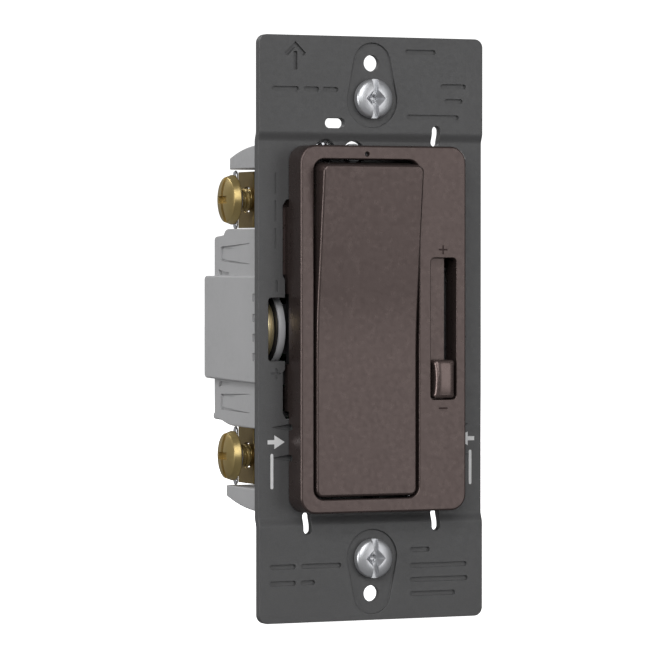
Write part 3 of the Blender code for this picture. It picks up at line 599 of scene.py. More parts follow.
BRONZE = (0.095, 0.0705, 0.0655)
STRAP = paint("strap_powder_coat", (0.078, 0.078, 0.079), 0.46)
FRAME_PLASTIC = plastic("frame_bronze_plastic", BRONZE, 0.31, 0.002, mottle=0.02, flake=0.65)
PADDLE_PLASTIC = plastic("paddle_bronze_plastic", BRONZE, 0.31, 0.002, mottle=0.02, flake=0.65)
# The knob's bronze is a lighter copy of the frame's bronze: a painted highlight for the light the knob
# catches.
KNOB_HIGHLIGHT_PLASTIC = plastic("knob_bronze_painted_highlight", shade(BRONZE, 1.5), 0.24, 0.001, mottle=0.04, flake=0.65)
HOUSING_PLASTIC = plastic("housing_grey_plastic", (0.40, 0.40, 0.405), 0.55, 0.014)
DIAL_PLASTIC = plastic("dial_grey_plastic", (0.44, 0.44, 0.45), 0.40)
BLACK_PLASTIC = plastic("black_plastic", (0.022, 0.022, 0.023), 0.50)
MARK_INK = plastic("mark_ink", (0.045, 0.028, 0.026), 0.6, 0.004, 2500.0, 0.1, 0.2)
WHITE_INK = plastic("white_ink", (0.78, 0.78, 0.78), 0.55, 0.004, 2500.0, 0.04)
FIBRE = plastic("vulcanised_fibre", (0.42, 0.30, 0.19), 0.80, 0.03, 1200.0, 0.2)
FERRITE = plastic("ferrite", (0.035, 0.035, 0.038), 0.70, 0.02, 1500.0, 0.25)
CAPACITOR_RESIN = plastic("capacitor_resin", (0.55, 0.36, 0.05), 0.40)
DISC_COATING = plastic("disc_coating", (0.03, 0.10, 0.34), 0.42, 0.02, 900.0, 0.15)
BOARD = board_material("board_mask")
CLEAR = clear("clear_lens", (0.70, 0.71, 0.72), 0.22)
BRASS_DARK = (0.24, 0.165, 0.06)
BRASS = metal("brass_sheet", (0.34, 0.25, 0.105), 0.38, BRASS_DARK, streak=(1.0, 1.0, 14.0))
SPRING = metal("spring_wire", (0.42, 0.42, 0.43), 0.30, (0.30, 0.29, 0.28))
ZINC = metal("zinc_plate", (0.62, 0.63, 0.65), 0.28, (0.48, 0.48, 0.50))
COPPER = metal("enamelled_copper", (0.62, 0.22, 0.08), 0.30, (0.42, 0.13, 0.05))
WASHER_METAL = metal("bright_washer", (0.78, 0.79, 0.82), 0.24, (0.60, 0.60, 0.62))


# --- strap ----------

def strap_window():
    """The cut-out behind the face frame, with its hook notches and the calibration window."""
    left, edge, near = -14.2, -16.8, -17.5
    dial_side, dial_low, dial_high, r = -20.35, -5.75, 5.7, 0.5
    return ([(left, -24.5), (14.5, -24.5), (14.5, -15.0), (17.0, -15.0), (17.0, -10.0), (14.5, -10.0),
             (14.5, 11.0), (17.0, 11.0), (17.0, 16.0), (14.5, 16.0), (14.5, 29.0), (left, 29.0),
             (left, 23.45), (edge, 23.45), (near, 22.4), (near, 9.6), (near + 0.45, 9.1),
             (near + 0.45, dial_high)]
            + arc(dial_side + r, dial_high - r, r, 90, 180, 4)
            + arc(dial_side + r, dial_low + r, r, 180, 270, 4)
            + [(near + 0.45, dial_low), (near + 0.45, -7.3), (near, -7.8), (near, -15.2),
               (edge, -16.4), (left, -16.4)])


def teardrop(side, inset=0.0):
    """Outline of the coined recess in an ear: a wide circle and a smaller one, with tangents."""
    lean = degrees(asin((RECESS_R - RECESS_TIP_R) / (PLATE_Z - MOUNT_Z)))
    points = (arc(0, MOUNT_Z, RECESS_R - inset, 180 - lean, 360 + lean, 40)
              + arc(0, PLATE_Z, RECESS_TIP_R - inset, lean, 180 - lean, 24))
    return [(u, side * v) for u, v in points]


def smoothstep(t):
    t = max(0.0, min(1.0, t))
    return t * t * (3 - 2 * t)


def groove(u, v, surface, depth):
    """Cutter for an engraved bar with round ends."""
    outline = rounded(u, v, min(u[1] - u[0], v[1] - v[0]) / 2 - 0.01, 0.0, 5)
    return prism("XZ", outline, (surface - 0.5, surface + depth))


def up_arrow(x, z, height):
    """Outlines of the strokes of a plain arrow that points up."""
    top, half, reach = z + height, 0.38, 2.1
    head = [(x, top + 0.5), (x + reach, top - reach + 0.5), (x + reach - 0.54, top - reach - 0.04),
            (x, top - 0.58), (x - reach + 0.54, top - reach - 0.04), (x - reach, top - reach + 0.5)]
    return [head, [(x - half, z), (x + half, z), (x + half, top - 1.3), (x - half, top - 1.3)]]


def strap_marks():
    """Engraved plain bars and an arrow where the real strap carries moulded words."""
    depth, half = 0.5, 0.45
    bars = [((-19.9, -14.6), 43.5), ((-13.6, -10.6), 43.5), ((-9.9, -6.8), 43.5),
            ((6.6, 12.8), 50.6), ((13.8, 19.0), 44.4), ((14.6, 18.3), 41.7), ((6.9, 17.5), 38.7),
            ((-20.4, -15.2), -43.0), ((-14.2, -6.2), -43.0), ((-20.4, -15.2), -46.0),
            ((-14.2, -11.4), -46.0), ((7.6, 11.6), -40.6), ((7.6, 19.2), -43.5), ((7.6, 19.4), -46.1),
            ((7.6, 16.8), -48.7)]
    shapes = [groove(x, (z - half, z + half), -STRAP_T, depth) for x, z in bars]
    shapes += [prism("XZ", outline, (-STRAP_T - 0.5, -STRAP_T + depth))
               for outline in up_arrow(-15.3, 47.0, 4.6)]
    shapes += [groove(x, z, STRAP_FRONT, 0.25)
               for x, z in (((-19.02, -18.58), (6.75, 8.92)), ((-19.02, -18.58), (-9.06, -7.07)),
                            ((-19.9, -17.9), (-8.28, -7.82)))]
    lines = [(z - 1.9, z + 1.9) for z in (26.4, 21.4, 16.4)]
    return shapes + [groove((-19.25, -18.85), line, STRAP_FRONT, 0.2) for line in lines]


def make_strap():
    """Strap with its ears, coined recesses, slots and the set-back middle."""
    holes = [strap_window()]
    for side in (1, -1):
        holes += [rounded((-3.4, 3.4), (side * MOUNT_Z - 2.1, side * MOUNT_Z + 2.1), 2.0),
                  circle(0, side * PLATE_Z, 1.5)]
    holes += [rounded(x, z, radius)
              for x, z, radius in (((-9.4, -5.5), (36.5, 38.3), 0.88), ((12.1, 13.7), (33.3, 37.1), 0.78),
                                   ((-13.65, -12.05), (-37.2, -33.2), 0.78),
                                   ((12.1, 13.7), (-37.2, -33.2), 0.78))]
    holes += [circle(x, z, 2.05) for x, z in HOUSING_SCREWS]
    holes += [circle(LENS_X, LENS_BASE_Z, 2.2), circle(0, -28.5, 1.9)]
    bm = plate("XZ", [rounded(STRAP_X, STRAP_Z, 1.6, steps=12)] + holes, (-STRAP_T, 0.0), 0.13, 3)
    rows = 8
    for i in range(rows + 1):
        for side in (1, -1):
            z = side * (BEND_INNER + (BEND_OUTER - BEND_INNER) * i / rows)
            bmesh.ops.bisect_plane(bm, geom=bm.verts[:] + bm.edges[:] + bm.faces[:],
                                   plane_co=(0, 0, z), plane_no=(0, 0, 1))
    for vert in bm.verts:
        ramp = (BEND_OUTER - abs(vert.co.z)) / (BEND_OUTER - BEND_INNER)
        vert.co.y += STRAP_SETBACK * smoothstep(ramp)
    cutters = [pocket("XZ", lambda inset, s=side: teardrop(s, inset), -STRAP_T, RECESS_FLOOR, 0.12, 0.12)
               for side in (1, -1)]
    cutters += [aim(turned([(0.72, 2.1), (0.02, -2.1)], 24), (-side, 0, 0), (side * 17.8, STRAP_FRONT, z))
                for z in PRY_Z for side in (-1, 1)]
    bm = cut(cut(bm, *cutters), *strap_marks())
    make("strap_painted", bm, ROOT, STRAP, ["mounting_strap"])


def make_strap_print():
    """White printed arrows beside the pry notches, each with a plain bar."""
    span, z, neck_half, head_half = (STRAP_FRONT + 0.05, STRAP_FRONT - 0.03), -20.4, 0.38, 1.25
    for name, start, neck, tip, middle in (("left", -20.54, -19.22, -17.19, -19.7),
                                           ("right", 20.99, 19.67, 17.1, 20.15)):
        arrow = [(start, z - neck_half), (neck, z - neck_half), (neck, z - head_half), (tip, z),
                 (neck, z + head_half), (neck, z + neck_half), (start, z + neck_half)]
        line = lambda inset, m=middle: rounded((m - 0.28, m + 0.28), (-28.9, -22.5), 0.26, inset, 4)
        shape = merged(prism("XZ", arrow, span), bar("XZ", line, span, 0.01))
        make(f"strap_print_{name}", shape, ROOT, WHITE_INK)


def make_mounting_screws():
    """Box screws with a domed head, a flared slot and a four-sided cross recess."""
    seat, height, dome, rim, shank = RECESS_FLOOR - GAP, 1.5, 0.55, 3.6, 1.75
    face = seat - height - dome
    profile = [(0, height + dome)]
    profile += [(rim * sin(a) * 0.955, height - 0.12 + (dome + 0.12) * cos(a) ** 1.1)
                for a in (radians(d) for d in (12, 24, 36, 48, 60, 72, 82))]
    profile += [(rim - 0.06, height - 0.22), (rim, height - 0.42), (rim, 0.12), (rim - 0.12, 0.0),
                (shank, 0.0)]
    for name, side in (("upper", 1), ("lower", -1)):
        z = side * (MOUNT_Z + 0.25)
        body = f"mounting_screw_{name}"
        bm = aim(threaded(profile, shank, 19.5, SHANK_PITCH, 0.28), (0, -1, 0), (0, seat, z))
        channel = []
        for level, half in ((-4.2, 0.66), (-1.4, 0.42), (1.4, 0.42), (4.2, 0.66)):
            wide = half + 0.05
            channel.append(place([(-half, face + 1.15), (half, face + 1.15), (wide, face - 0.6),
                                  (-wide, face - 0.6)], "XY", z + level))
        diamond = aim(turned([(2.25, 0.35), (1.95, 0.0), (0.75, -1.25)], 4), (0, -1, 0), (0, face + 0.12, z))
        arms = [box((-u, u), (face, face + 1.9), (z - v, z + v)) for u, v in ((0.62, 0.2), (0.2, 0.62))]
        bm = eased(cut(bm, loft(channel), diamond, *arms), 0.035, 30, 2)
        steel = metal(f"screw_zinc_{name}", (0.60, 0.61, 0.63), 0.32, (0.52, 0.52, 0.54), (0, seat, z), "Y",
                      fill=0.3)
        make(f"mounting_screw_head_{name}", bm, body, steel, [body])
        washer = plate("XZ", [rounded((-3.6, 3.6), (z - 3.6, z + 3.6), 0.8), circle(0, z, 2.1)],
                       (GAP, GAP + 0.6), 0.06)
        make(f"fibre_retainer_{name}", washer, ROOT, FIBRE, [f"screw_retainer_{name}"])


# --- face frame ----------

def frame_cavity():
    """Hollow under the thin skin, leaving the two lugs that carry the rocker's pivots."""
    w, h = FRAME_W / 2 - FRAME_WALL, FRAME_Z[1] - FRAME_WALL
    right, lug = SLOT_X[0] - 1.05, 2.5
    return [(-w, -h), (right, -h), (right, -lug), (ROCKER_X[1], -lug), (ROCKER_X[1], lug),
            (right, lug), (right, h), (-w, h), (-w, lug), (ROCKER_X[0], lug), (ROCKER_X[0], -lug),
            (-w, -lug)]


def frame_mark(index, shrink=0.0):
    """Outline of the plus above the slot, or of the minus below it."""
    x, z, h, w, v = 11.8, (14.42, -14.53)[index], 0.88 - shrink, 0.15 - shrink, 0.82 - shrink
    if index:
        return [(x - h, z - w), (x + h, z - w), (x + h, z + w), (x - h, z + w)]
    return [(x - h, z - w), (x - w, z - w), (x - w, z - v), (x + w, z - v), (x + w, z - w), (x + h, z - w),
            (x + h, z + w), (x + w, z + w), (x + w, z + v), (x - w, z + v), (x - w, z + w), (x - h, z + w)]


def make_frame_marks():
    """Dark fillings in the engraved plus and minus."""
    span = (FRAME_FRONT + 0.06, FRAME_FRONT + 0.3)
    fillings = [prism("XZ", frame_mark(i, 0.01), span) for i in (0, 1)]
    make("slider_mark_fill", merged(*fillings), ROOT, MARK_INK)


def make_face_frame():
    """Face frame: a hollow shell with the rocker's opening, the slider's slot and its snap hooks."""
    half_w, half_h, back = FRAME_W / 2, FRAME_Z[1], FRAME_BASE + 5
    inner, right, skin_back = half_w - FRAME_WALL, SLOT_X[0] - 1.05, FRAME_FRONT + FRAME_SKIN
    outer = lambda inset: rounded((-half_w, half_w), (-half_h, half_h), 3.0, inset, 14)
    root = FRAME_BASE - 0.8
    hooks = [box((side * 15.1, side * 16.3), (root, 1.9), z)
             for z in ((11.5, 15.5), (-14.5, -10.5)) for side in (-1, 1)]
    hooks += [box(SIDE_WALL, (root, 0.55), z) for z in ((-14.9, -6.4), (6.4, 22.1))]
    hooks += [box(SIDE_WALL, (0.3, 1.5), (18.7, 22.1)), box((-18.8, SIDE_WALL[1]), (0.8, 1.5), (18.7, 24.6)),
              box((-17.2, -15.3), (0.2, 0.55), (9.9, 22.1))]
    bm = join(bar("XZ", outer, (FRAME_FRONT, FRAME_BASE), 0.42, 0.08, 6), *hooks)
    behind = (SLOT_SKIN_BACK, back)
    bm = cut(bm, prism("XZ", frame_cavity(), (skin_back, back)),
             box((right - 0.5, inner), behind, (-half_h + FRAME_WALL, -2.5)),
             box((right - 0.5, inner), behind, (2.5, half_h - FRAME_WALL)),
             box((right, inner), behind, (-3.0, 3.0)))
    opening = lambda inset: rounded(ROCKER_X, (-ROCKER_Z, ROCKER_Z), 2.0, inset, 10)
    slot = lambda inset: rounded(SLOT_X, (-SLOT_Z, SLOT_Z), 0.75, inset, 6)
    pinhole = lambda inset: circle(LENS_X, LENS_Z, 0.45 - inset, 24)
    cutters = [pocket("XZ", opening, FRAME_FRONT, skin_back + 1, 0.28, 0),
               pocket("XZ", slot, FRAME_FRONT, SLOT_FLOOR, 0.18, 0.1),
               pocket("XZ", pinhole, FRAME_FRONT, -5.0, 0.06, 0),
               box((STEM_X[0] - GAP, SLOT_X[1]), (-5.4, 0), (-SLOT_Z, SLOT_Z)),
               rod((LENS_X, 0, LENS_Z), "Y", 1.1, (-5.9, 0)),
               rod((0, HINGE_Y, 0), "X", PIVOT_R + GAP, (-inner, right))]
    top, half = -2.55, 0.55
    for z in PRY_Z:
        for side in (-1, 1):
            x = sorted((side * 15.2, side * 17.5))
            cutters += [rod((0, top, z), "X", half, x, 24), box(x, (top, 0), (z - half, z + half))]
    cutters += [prism("XZ", frame_mark(i), (FRAME_FRONT - 0.5, FRAME_FRONT + 0.25)) for i in (0, 1)]
    make("face_frame_shell", cut(bm, *cutters), ROOT, FRAME_PLASTIC, ["face_frame"])


# --- rocker ----------

def paddle_point(x, s, depth):
    """Where a point of the unbent rocker lies: s runs up its face and depth runs into it."""
    blend, slope = 6.0, tan(radians(ROCK_DEG))
    if s <= -blend:
        face, lean = FRAME_FRONT, 0.0
    elif s >= blend:
        face, lean = FRAME_FRONT - slope * s, ROCK_DEG
    else:
        share = (s + blend) / (2 * blend)
        face, lean = FRAME_FRONT - slope * blend * share ** 2, ROCK_DEG * share
    z = s * (PADDLE_TOP / PADDLE_Z if s > 0 else 1.0)
    lean = radians(lean)
    return Vector((x, face + depth * cos(lean), z + depth * sin(lean)))


def paddle_outline(inset):
    """The rocker's outline with extra points up its sides, so that its face can bend."""
    corner, rows = 1.3, 40
    (x0, x1), z = PADDLE_X, PADDLE_Z
    corners = rounded(PADDLE_X, (-z, z), corner, inset, 8)
    quarter = len(corners) // 4
    low, high = -z + corner, z - corner
    side = [low + (high - low) * i / rows for i in range(1, rows)]
    right = [(x1 - inset, s) for s in side]
    left = [(x0 + inset, s) for s in side[::-1]]
    return corners[:2 * quarter] + right + corners[2 * quarter:] + left


def make_rocker():
    """Hollow rocker with a bent face, two pivots and the post that holds the plunger."""
    reach, outline = PADDLE_BACK - FRAME_FRONT, paddle_outline(0.0)
    rings = [[paddle_point(x, s, depth) for x, s in paddle_outline(inset)]
             for inset, depth in fillet_levels(PADDLE_FILLET, 5)]
    rings += [[paddle_point(x, s, depth) for x, s in outline] for depth in (1.2, 2.4)]
    rings.append([Vector((p.x, PADDLE_BACK, p.z)) if p.y > PADDLE_BACK - 0.2 or s < 0 else p
                  for p, s in ((paddle_point(x, s, reach), s) for x, s in outline)])
    bm, levels = skin(rings)
    ladder_faces(bm, levels[0])
    bm.faces.new(levels[-1][::-1])
    bmesh.ops.recalc_face_normals(bm, faces=bm.faces)
    hollow, end, rows = [], PADDLE_Z - PADDLE_WALL, 24
    for x in (PADDLE_X[0] + PADDLE_WALL, PADDLE_X[1] - PADDLE_WALL):
        roof = [paddle_point(x, -end + 2 * end * i / rows, 1.5) for i in range(rows + 1)]
        hollow.append(roof + [paddle_point(x, end, reach + 1.0), Vector((x, PADDLE_BACK + 1, -end))])
    bm = cut(bm, loft(hollow))
    lean, centre = ROCK_DEG / 2, (0, HINGE_Y, 0)
    post = box((POST_X - 2.5, POST_X + 2.5), (-6.1, 3.6), (-2.5, 2.5))
    bm = join(bm, rod(centre, "X", PIVOT_R, (PADDLE_X[0] - 1.2, PADDLE_X[0] + 1.0), 32, 0.1),
              rod(centre, "X", PIVOT_R, (PADDLE_X[1] - 1.0, PADDLE_X[1] + 1.2), 32, 0.1),
              tilt(post, lean, HINGE_Y))
    bm = cut(bm, tilt(rod((POST_X, 0, 0), "Y", 1.65, (-2.5, 5)), lean, HINGE_Y))
    make("rocker_paddle_shell", bm, "rocker", PADDLE_PLASTIC, ["rocker_paddle"])


def ladder_faces(bm, verts):
    """Fills a ring that is symmetric left to right with rungs between points at one height."""
    centre = sum((v.co.x for v in verts), 0.0) / len(verts)
    right = sorted((v for v in verts if v.co.x > centre), key=lambda v: v.co.z)
    left = sorted((v for v in verts if v.co.x <= centre), key=lambda v: v.co.z)
    for i in range(len(right) - 1):
        bm.faces.new((left[i], right[i], right[i + 1], left[i + 1]))


def make_plunger():
    lean = ROCK_DEG / 2
    profile = [(1.3 * sin(radians(a)), 1.3 * cos(radians(a))) for a in range(0, 91, 10)]
    profile += [(1.3, -4.3), (1.2, -4.4), (0.7, -4.4), (0.7, -5.4), (0.0, -5.4)]
    bm = tilt(aim(turned(profile, 40), (0, 1, 0), (POST_X, 5.0, 0)), lean, HINGE_Y)
    make("plunger_pin", bm, "rocker", BLACK_PLASTIC, ["rocker_plunger"])
    turns, coil_r, per_turn = 3.5, 1.15, 24
    count = int(turns * per_turn) + 1
    points = []
    for i in range(count):
        angle = 2 * pi * i / per_turn
        points.append((coil_r * cos(angle), coil_r * sin(angle), -2.2 + i / (count - 1) * 2.3))
    bm = tilt(aim(wire(points, 0.16), (0, 1, 0), (POST_X, 0, 0)), lean, HINGE_Y)
    make("plunger_spring", bm, "rocker", SPRING, ["rocker_spring"])


def wire(points, radius, resolution=3):
    """A round wire along points, with closed ends."""
    curve = bpy.data.curves.new("wire", "CURVE")
    curve.dimensions = "3D"
    curve.bevel_depth = radius
    curve.bevel_resolution = resolution
    curve.use_fill_caps = True
    spline = curve.splines.new("POLY")
    spline.points.add(len(points) - 1)
    for spot, point in zip(spline.points, points):
        spot.co = (*point, 1.0)
    bm = evaluated(bpy.data.objects.new("wire", curve))
    bmesh.ops.remove_doubles(bm, verts=bm.verts, dist=0.0005)
    return bm


# --- slider ----------

def make_slider():
    """Knob with a waist and a low crown, and the stem that reaches the wiper."""
    corner, rows = 0.6, 16
    low, high = KNOB_Z
    middle, half, centre_x = (low + high) / 2, (high - low) / 2, sum(KNOB_X) / 2
    heights = [low + corner + (high - low - 2 * corner) * i / rows for i in range(1, rows)]
    bow = lambda z: 1 - ((z - middle) / half) ** 2

    def outline(inset):
        corners = rounded(KNOB_X, KNOB_Z, corner, inset, 6)
        quarter = len(corners) // 4
        right = [(KNOB_X[1] - inset - KNOB_WAIST * bow(z), z) for z in heights]
        left = [(KNOB_X[0] + inset + KNOB_WAIST * bow(z), z) for z in heights[::-1]]
        return corners[:2 * quarter] + right + corners[2 * quarter:] + left

    def crown(x, z):
        across = 1 - ((x - centre_x) / 2.1) ** 2
        return KNOB_ENDS + 0.3 + (KNOB_CROWN - KNOB_ENDS) * bow(z) - 0.38 * across

    rings = [[Vector((x, crown(x, z) + depth, z)) for x, z in outline(inset)]
             for inset, depth in fillet_levels(0.5, 6)]
    rings.append([Vector((x, SLOT_FLOOR - GAP, z)) for x, z in outline(0.0)])
    bm, levels = skin(rings)
    front = levels[0]
    inner = [(centre_x + (v.co.x - centre_x) * 0.5, middle + (v.co.z - middle) * 0.97) for v in front]
    core = [bm.verts.new((x, crown(x, z), z)) for x, z in inner]
    for i in range(len(core)):
        j = (i + 1) % len(core)
        bm.faces.new((core[i], core[j], front[j], front[i]))
    ladder_faces(bm, core)
    bm.faces.new(levels[-1][::-1])
    bmesh.ops.recalc_face_normals(bm, faces=bm.faces)
    bm = join(bm, box(STEM_X, (SLOT_FLOOR - 1, -0.7), (middle - 0.9, middle + 0.9)))
    make("slider_knob_cap", bm, "slider", KNOB_HIGHLIGHT_PLASTIC, ["slider_knob"])


# --- calibration dial ----------

def make_dial():
    """Calibration wheel with a black ring over its face, painted shade where that face turns away from the
    light, and the slotted brass disc at its centre.
    """
    origin, width, body = (DIAL_X[0], DIAL_Y, 0), DIAL_X[1] - DIAL_X[0], "calibration_dial"
    wheel = [(1.5, width), (DIAL_R - 0.3, width), (DIAL_R - 0.1, width - 0.08), (DIAL_R, width - 0.26),
             (DIAL_R, 0.3), (DIAL_R - 0.1, 0.1), (DIAL_R - 0.28, 0.02), (DIAL_R - 0.9, 0.0),
             (DIAL_R - 1.0, 0.12), (1.5, 0.12), (1.5, width)]
    band = [(5.0, 0.3), (6.62, 0.3), (6.62, -0.1), (6.52, -0.16), (5.0, -0.16), (5.0, 0.3)]
    make("dial_wheel", aim(ring_turned(wheel, 96), (1, 0, 0), origin), body, DIAL_PLASTIC,
         ["calibration_wheel"])
    # A black ring laid on the wheel's face: painted shade for the side of the wheel that the light does not
    # reach.
    make("dial_painted_shade_ring", aim(ring_turned(band, 96), (1, 0, 0), origin), body,
         BLACK_PLASTIC)
    disc = [(0, 5.5), (1.1, 5.5), (1.2, 5.4), (1.2, -GAP), (5.5, -GAP), (5.7, -0.38), (5.8, -0.55),
            (5.8, -0.9), (5.68, -0.98), (5.68, -1.1), (5.8, -1.18), (5.8, -1.55), (5.65, -1.8),
            (5.4, -1.9), (0, -1.9)]
    slot = box((DIAL_X[0] - 3, DIAL_X[0] - 1.3), (DIAL_Y - 0.5, DIAL_Y + 0.5), (-3.4, 3.4))
    brass = metal("dial_brass", (0.72, 0.62, 0.38), 0.30, (0.62, 0.50, 0.28), origin, "X", fill=0.3)
    make("dial_disc", cut(aim(turned(disc, 96), (1, 0, 0), origin), slot), body, brass,
         ["calibration_disc"])


# --- housing ----------

def end_outline(index):
    """Side outline of an end block, whose outer face curves down towards the back."""
    (inner, outer), back = END_Z[index], END_BACKS[index]
    drop = 2.2 if index == 0 else -2.2
    steps = 14
    curve = [(SEAT + (back - SEAT) * i / steps, outer - drop * (i / steps) ** 2.2) for i in range(steps + 1)]
    return [(SEAT, inner), (back, inner)] + curve[::-1]


def middle_outline():
    """Side outline of the wide middle part, with its upper shoulder and hooked lower lip."""
    low, high = MID_Z
    lip = MID_BACK + 0.6
    return ([(SEAT, low), (15.0, low + 0.1), (17.0, low + 0.25), (18.6, low + 0.5), (20.8, low + 1.0),
             (22.6, low + 1.08)]
            + arc(lip - 0.65, low + 1.75, 0.65, -90, 90, 8)
            + [(MID_BACK, low + 2.7), (MID_BACK, high - 2.2)]
            + arc(MID_BACK - 0.8, high - 2.2, 0.8, 0, 90, 5)
            + [(20.6, high - 1.2), (19.7, high - 1.1), (19.2, high - 0.6), (18.7, high - 0.2),
               (17.9, high - 0.02), (SEAT, high)])


def block_outline():
    low, high = BLOCK_Z
    return ([(SEAT, low), (BLOCK_BACK - 3, low + 0.35)]
            + arc(BLOCK_BACK - 0.9, low + 1.3, 0.9, -80, 0, 5)
            + arc(BLOCK_BACK - 0.8, high - 0.8, 0.8, 0, 90, 6) + [(SEAT, high)])


def latch_cutters(side):
    """Two tapered slits and the sunken tab between them, above and below the block."""
    outer, face = side * (MID_X + 1), side * MID_X
    wall = sorted((outer, side * (MID_X - 0.55)))
    shapes = []
    for root, tip in ((14.77, 15.55), (12.54, 11.8), (-12.53, -11.96), (-14.94, -15.4)):
        slit = [(20.9, root - 0.24), (20.9, root + 0.24), (7.2, tip + 0.03), (7.2, tip - 0.03)]
        shapes.append(prism("YZ", slit, wall))
    ramp = [(outer, 20.9), (outer, 13.5), (face, 13.5), (face - side * 0.34, 20.9)]
    return shapes + [prism("XY", ramp, span) for span in ((12.6, 14.75), (-14.9, -12.55))]


def side_cutters(side):
    """Vents, corner hooks and latch tabs in one side of the housing."""
    shapes = latch_cutters(side)
    vent = (side * (BLOCK_X - 0.5), side * (BLOCK_X + 1))
    shapes += [soft_box(vent, (2.2, 3.6), (z - 0.75, z + 0.75), 0.2) for z in (5.7, 2.0, -1.6, -5.1)]
    for z in (10.05, -10.27):
        step = copysign(0.3, z)
        hook = [(16.9, z - step), (16.9, z + step * 0.8), (19.0, z + step), (21.9, z + step * 2.6),
                (21.4, z - step)]
        shapes.append(prism("YZ", hook, sorted((side * (MID_X - 0.5), side * (MID_X + 1)))))
    return shapes


def make_housing():
    """Rear housing: a deep tray with end blocks, latch tabs and small side vents."""
    sides = (-MID_X, MID_X)
    ends = [plate("YZ", [end_outline(i)], sides, 0.3, 2) for i in (0, 1)]
    bosses = [rod((x, 0, z), "Y", 2.25, (SEAT, 9.5), 40) for x, z in HOUSING_SCREWS]
    core = soft_box((-CORE_X, CORE_X), (SEAT, CORE_BACK), (-30.8, 31.0), 0.35)
    bm = join(plate("YZ", [middle_outline()], sides, 0.3, 2),
              plate("YZ", [block_outline()], (-BLOCK_X, BLOCK_X), 0.35, 2), core, *ends, *bosses)
    narrow, wide, block = CORE_X - WALL, MID_X - WALL, BLOCK_X - WALL
    boss_z, boss_x, low, high, front = 28.3, 6.5, -29.6, 29.8, SEAT - THROUGH
    tray = [(-narrow, low), (boss_x, low), (boss_x, -boss_z), (narrow, -boss_z), (narrow, high),
            (-boss_x, high), (-boss_x, boss_z), (-narrow, boss_z)]
    bm = cut(bm, prism("XZ", tray, (front, CORE_BACK - WALL)),
             box((-boss_x, narrow), (front, 6.0), (high - 1, 32.5)),
             box((-narrow, boss_x), (front, 6.0), (-31.9, low + 1)),
             box((-wide, wide), (front, MID_BACK - WALL), (-16.3, 16.3)),
             box((-block, block), (front, BLOCK_BACK - WALL), (BLOCK_Z[0] + WALL, BLOCK_Z[1] - WALL)))
    cutters = [rod((x, 0, z), "Y", 1.2, (front, 8.9), 32) for x, z in HOUSING_SCREWS]
    for name in TERMINAL_NAMES:
        side, z = terminal_place(name)
        edge = z - copysign(TERMINAL_HALF - 0.4, z)
        cutters.append(box((side * 11.0, side * 14.0), (13.2, 15.9), (edge - 0.8, edge + 0.8)))
    bm = cut(bm, *cutters, *side_cutters(-1), *side_cutters(1))
    make("rear_housing_shell", bm, ROOT, HOUSING_PLASTIC, ["rear_housing"])


# --- terminals ----------

def terminal_place(name):
    """Which side a terminal is on and its height, from its CAD screw."""
    x, _, z = extent(f"terminal_screw_{name}")
    return (1 if sum(x) > 0 else -1), sum(z) / 2


TERMINAL_BRASS = ("brass", (0.52, 0.40, 0.17), (0.40, 0.29, 0.11))
TERMINAL_FINISH = {              # slot, colour and tarnish of the screws that aren't plain brass
    "upper_right": ("black_brass", (0.075, 0.068, 0.060), (0.035, 0.032, 0.030)),
    "lower_right": ("green_brass", (0.06, 0.24, 0.085), (0.04, 0.13, 0.05)),
}


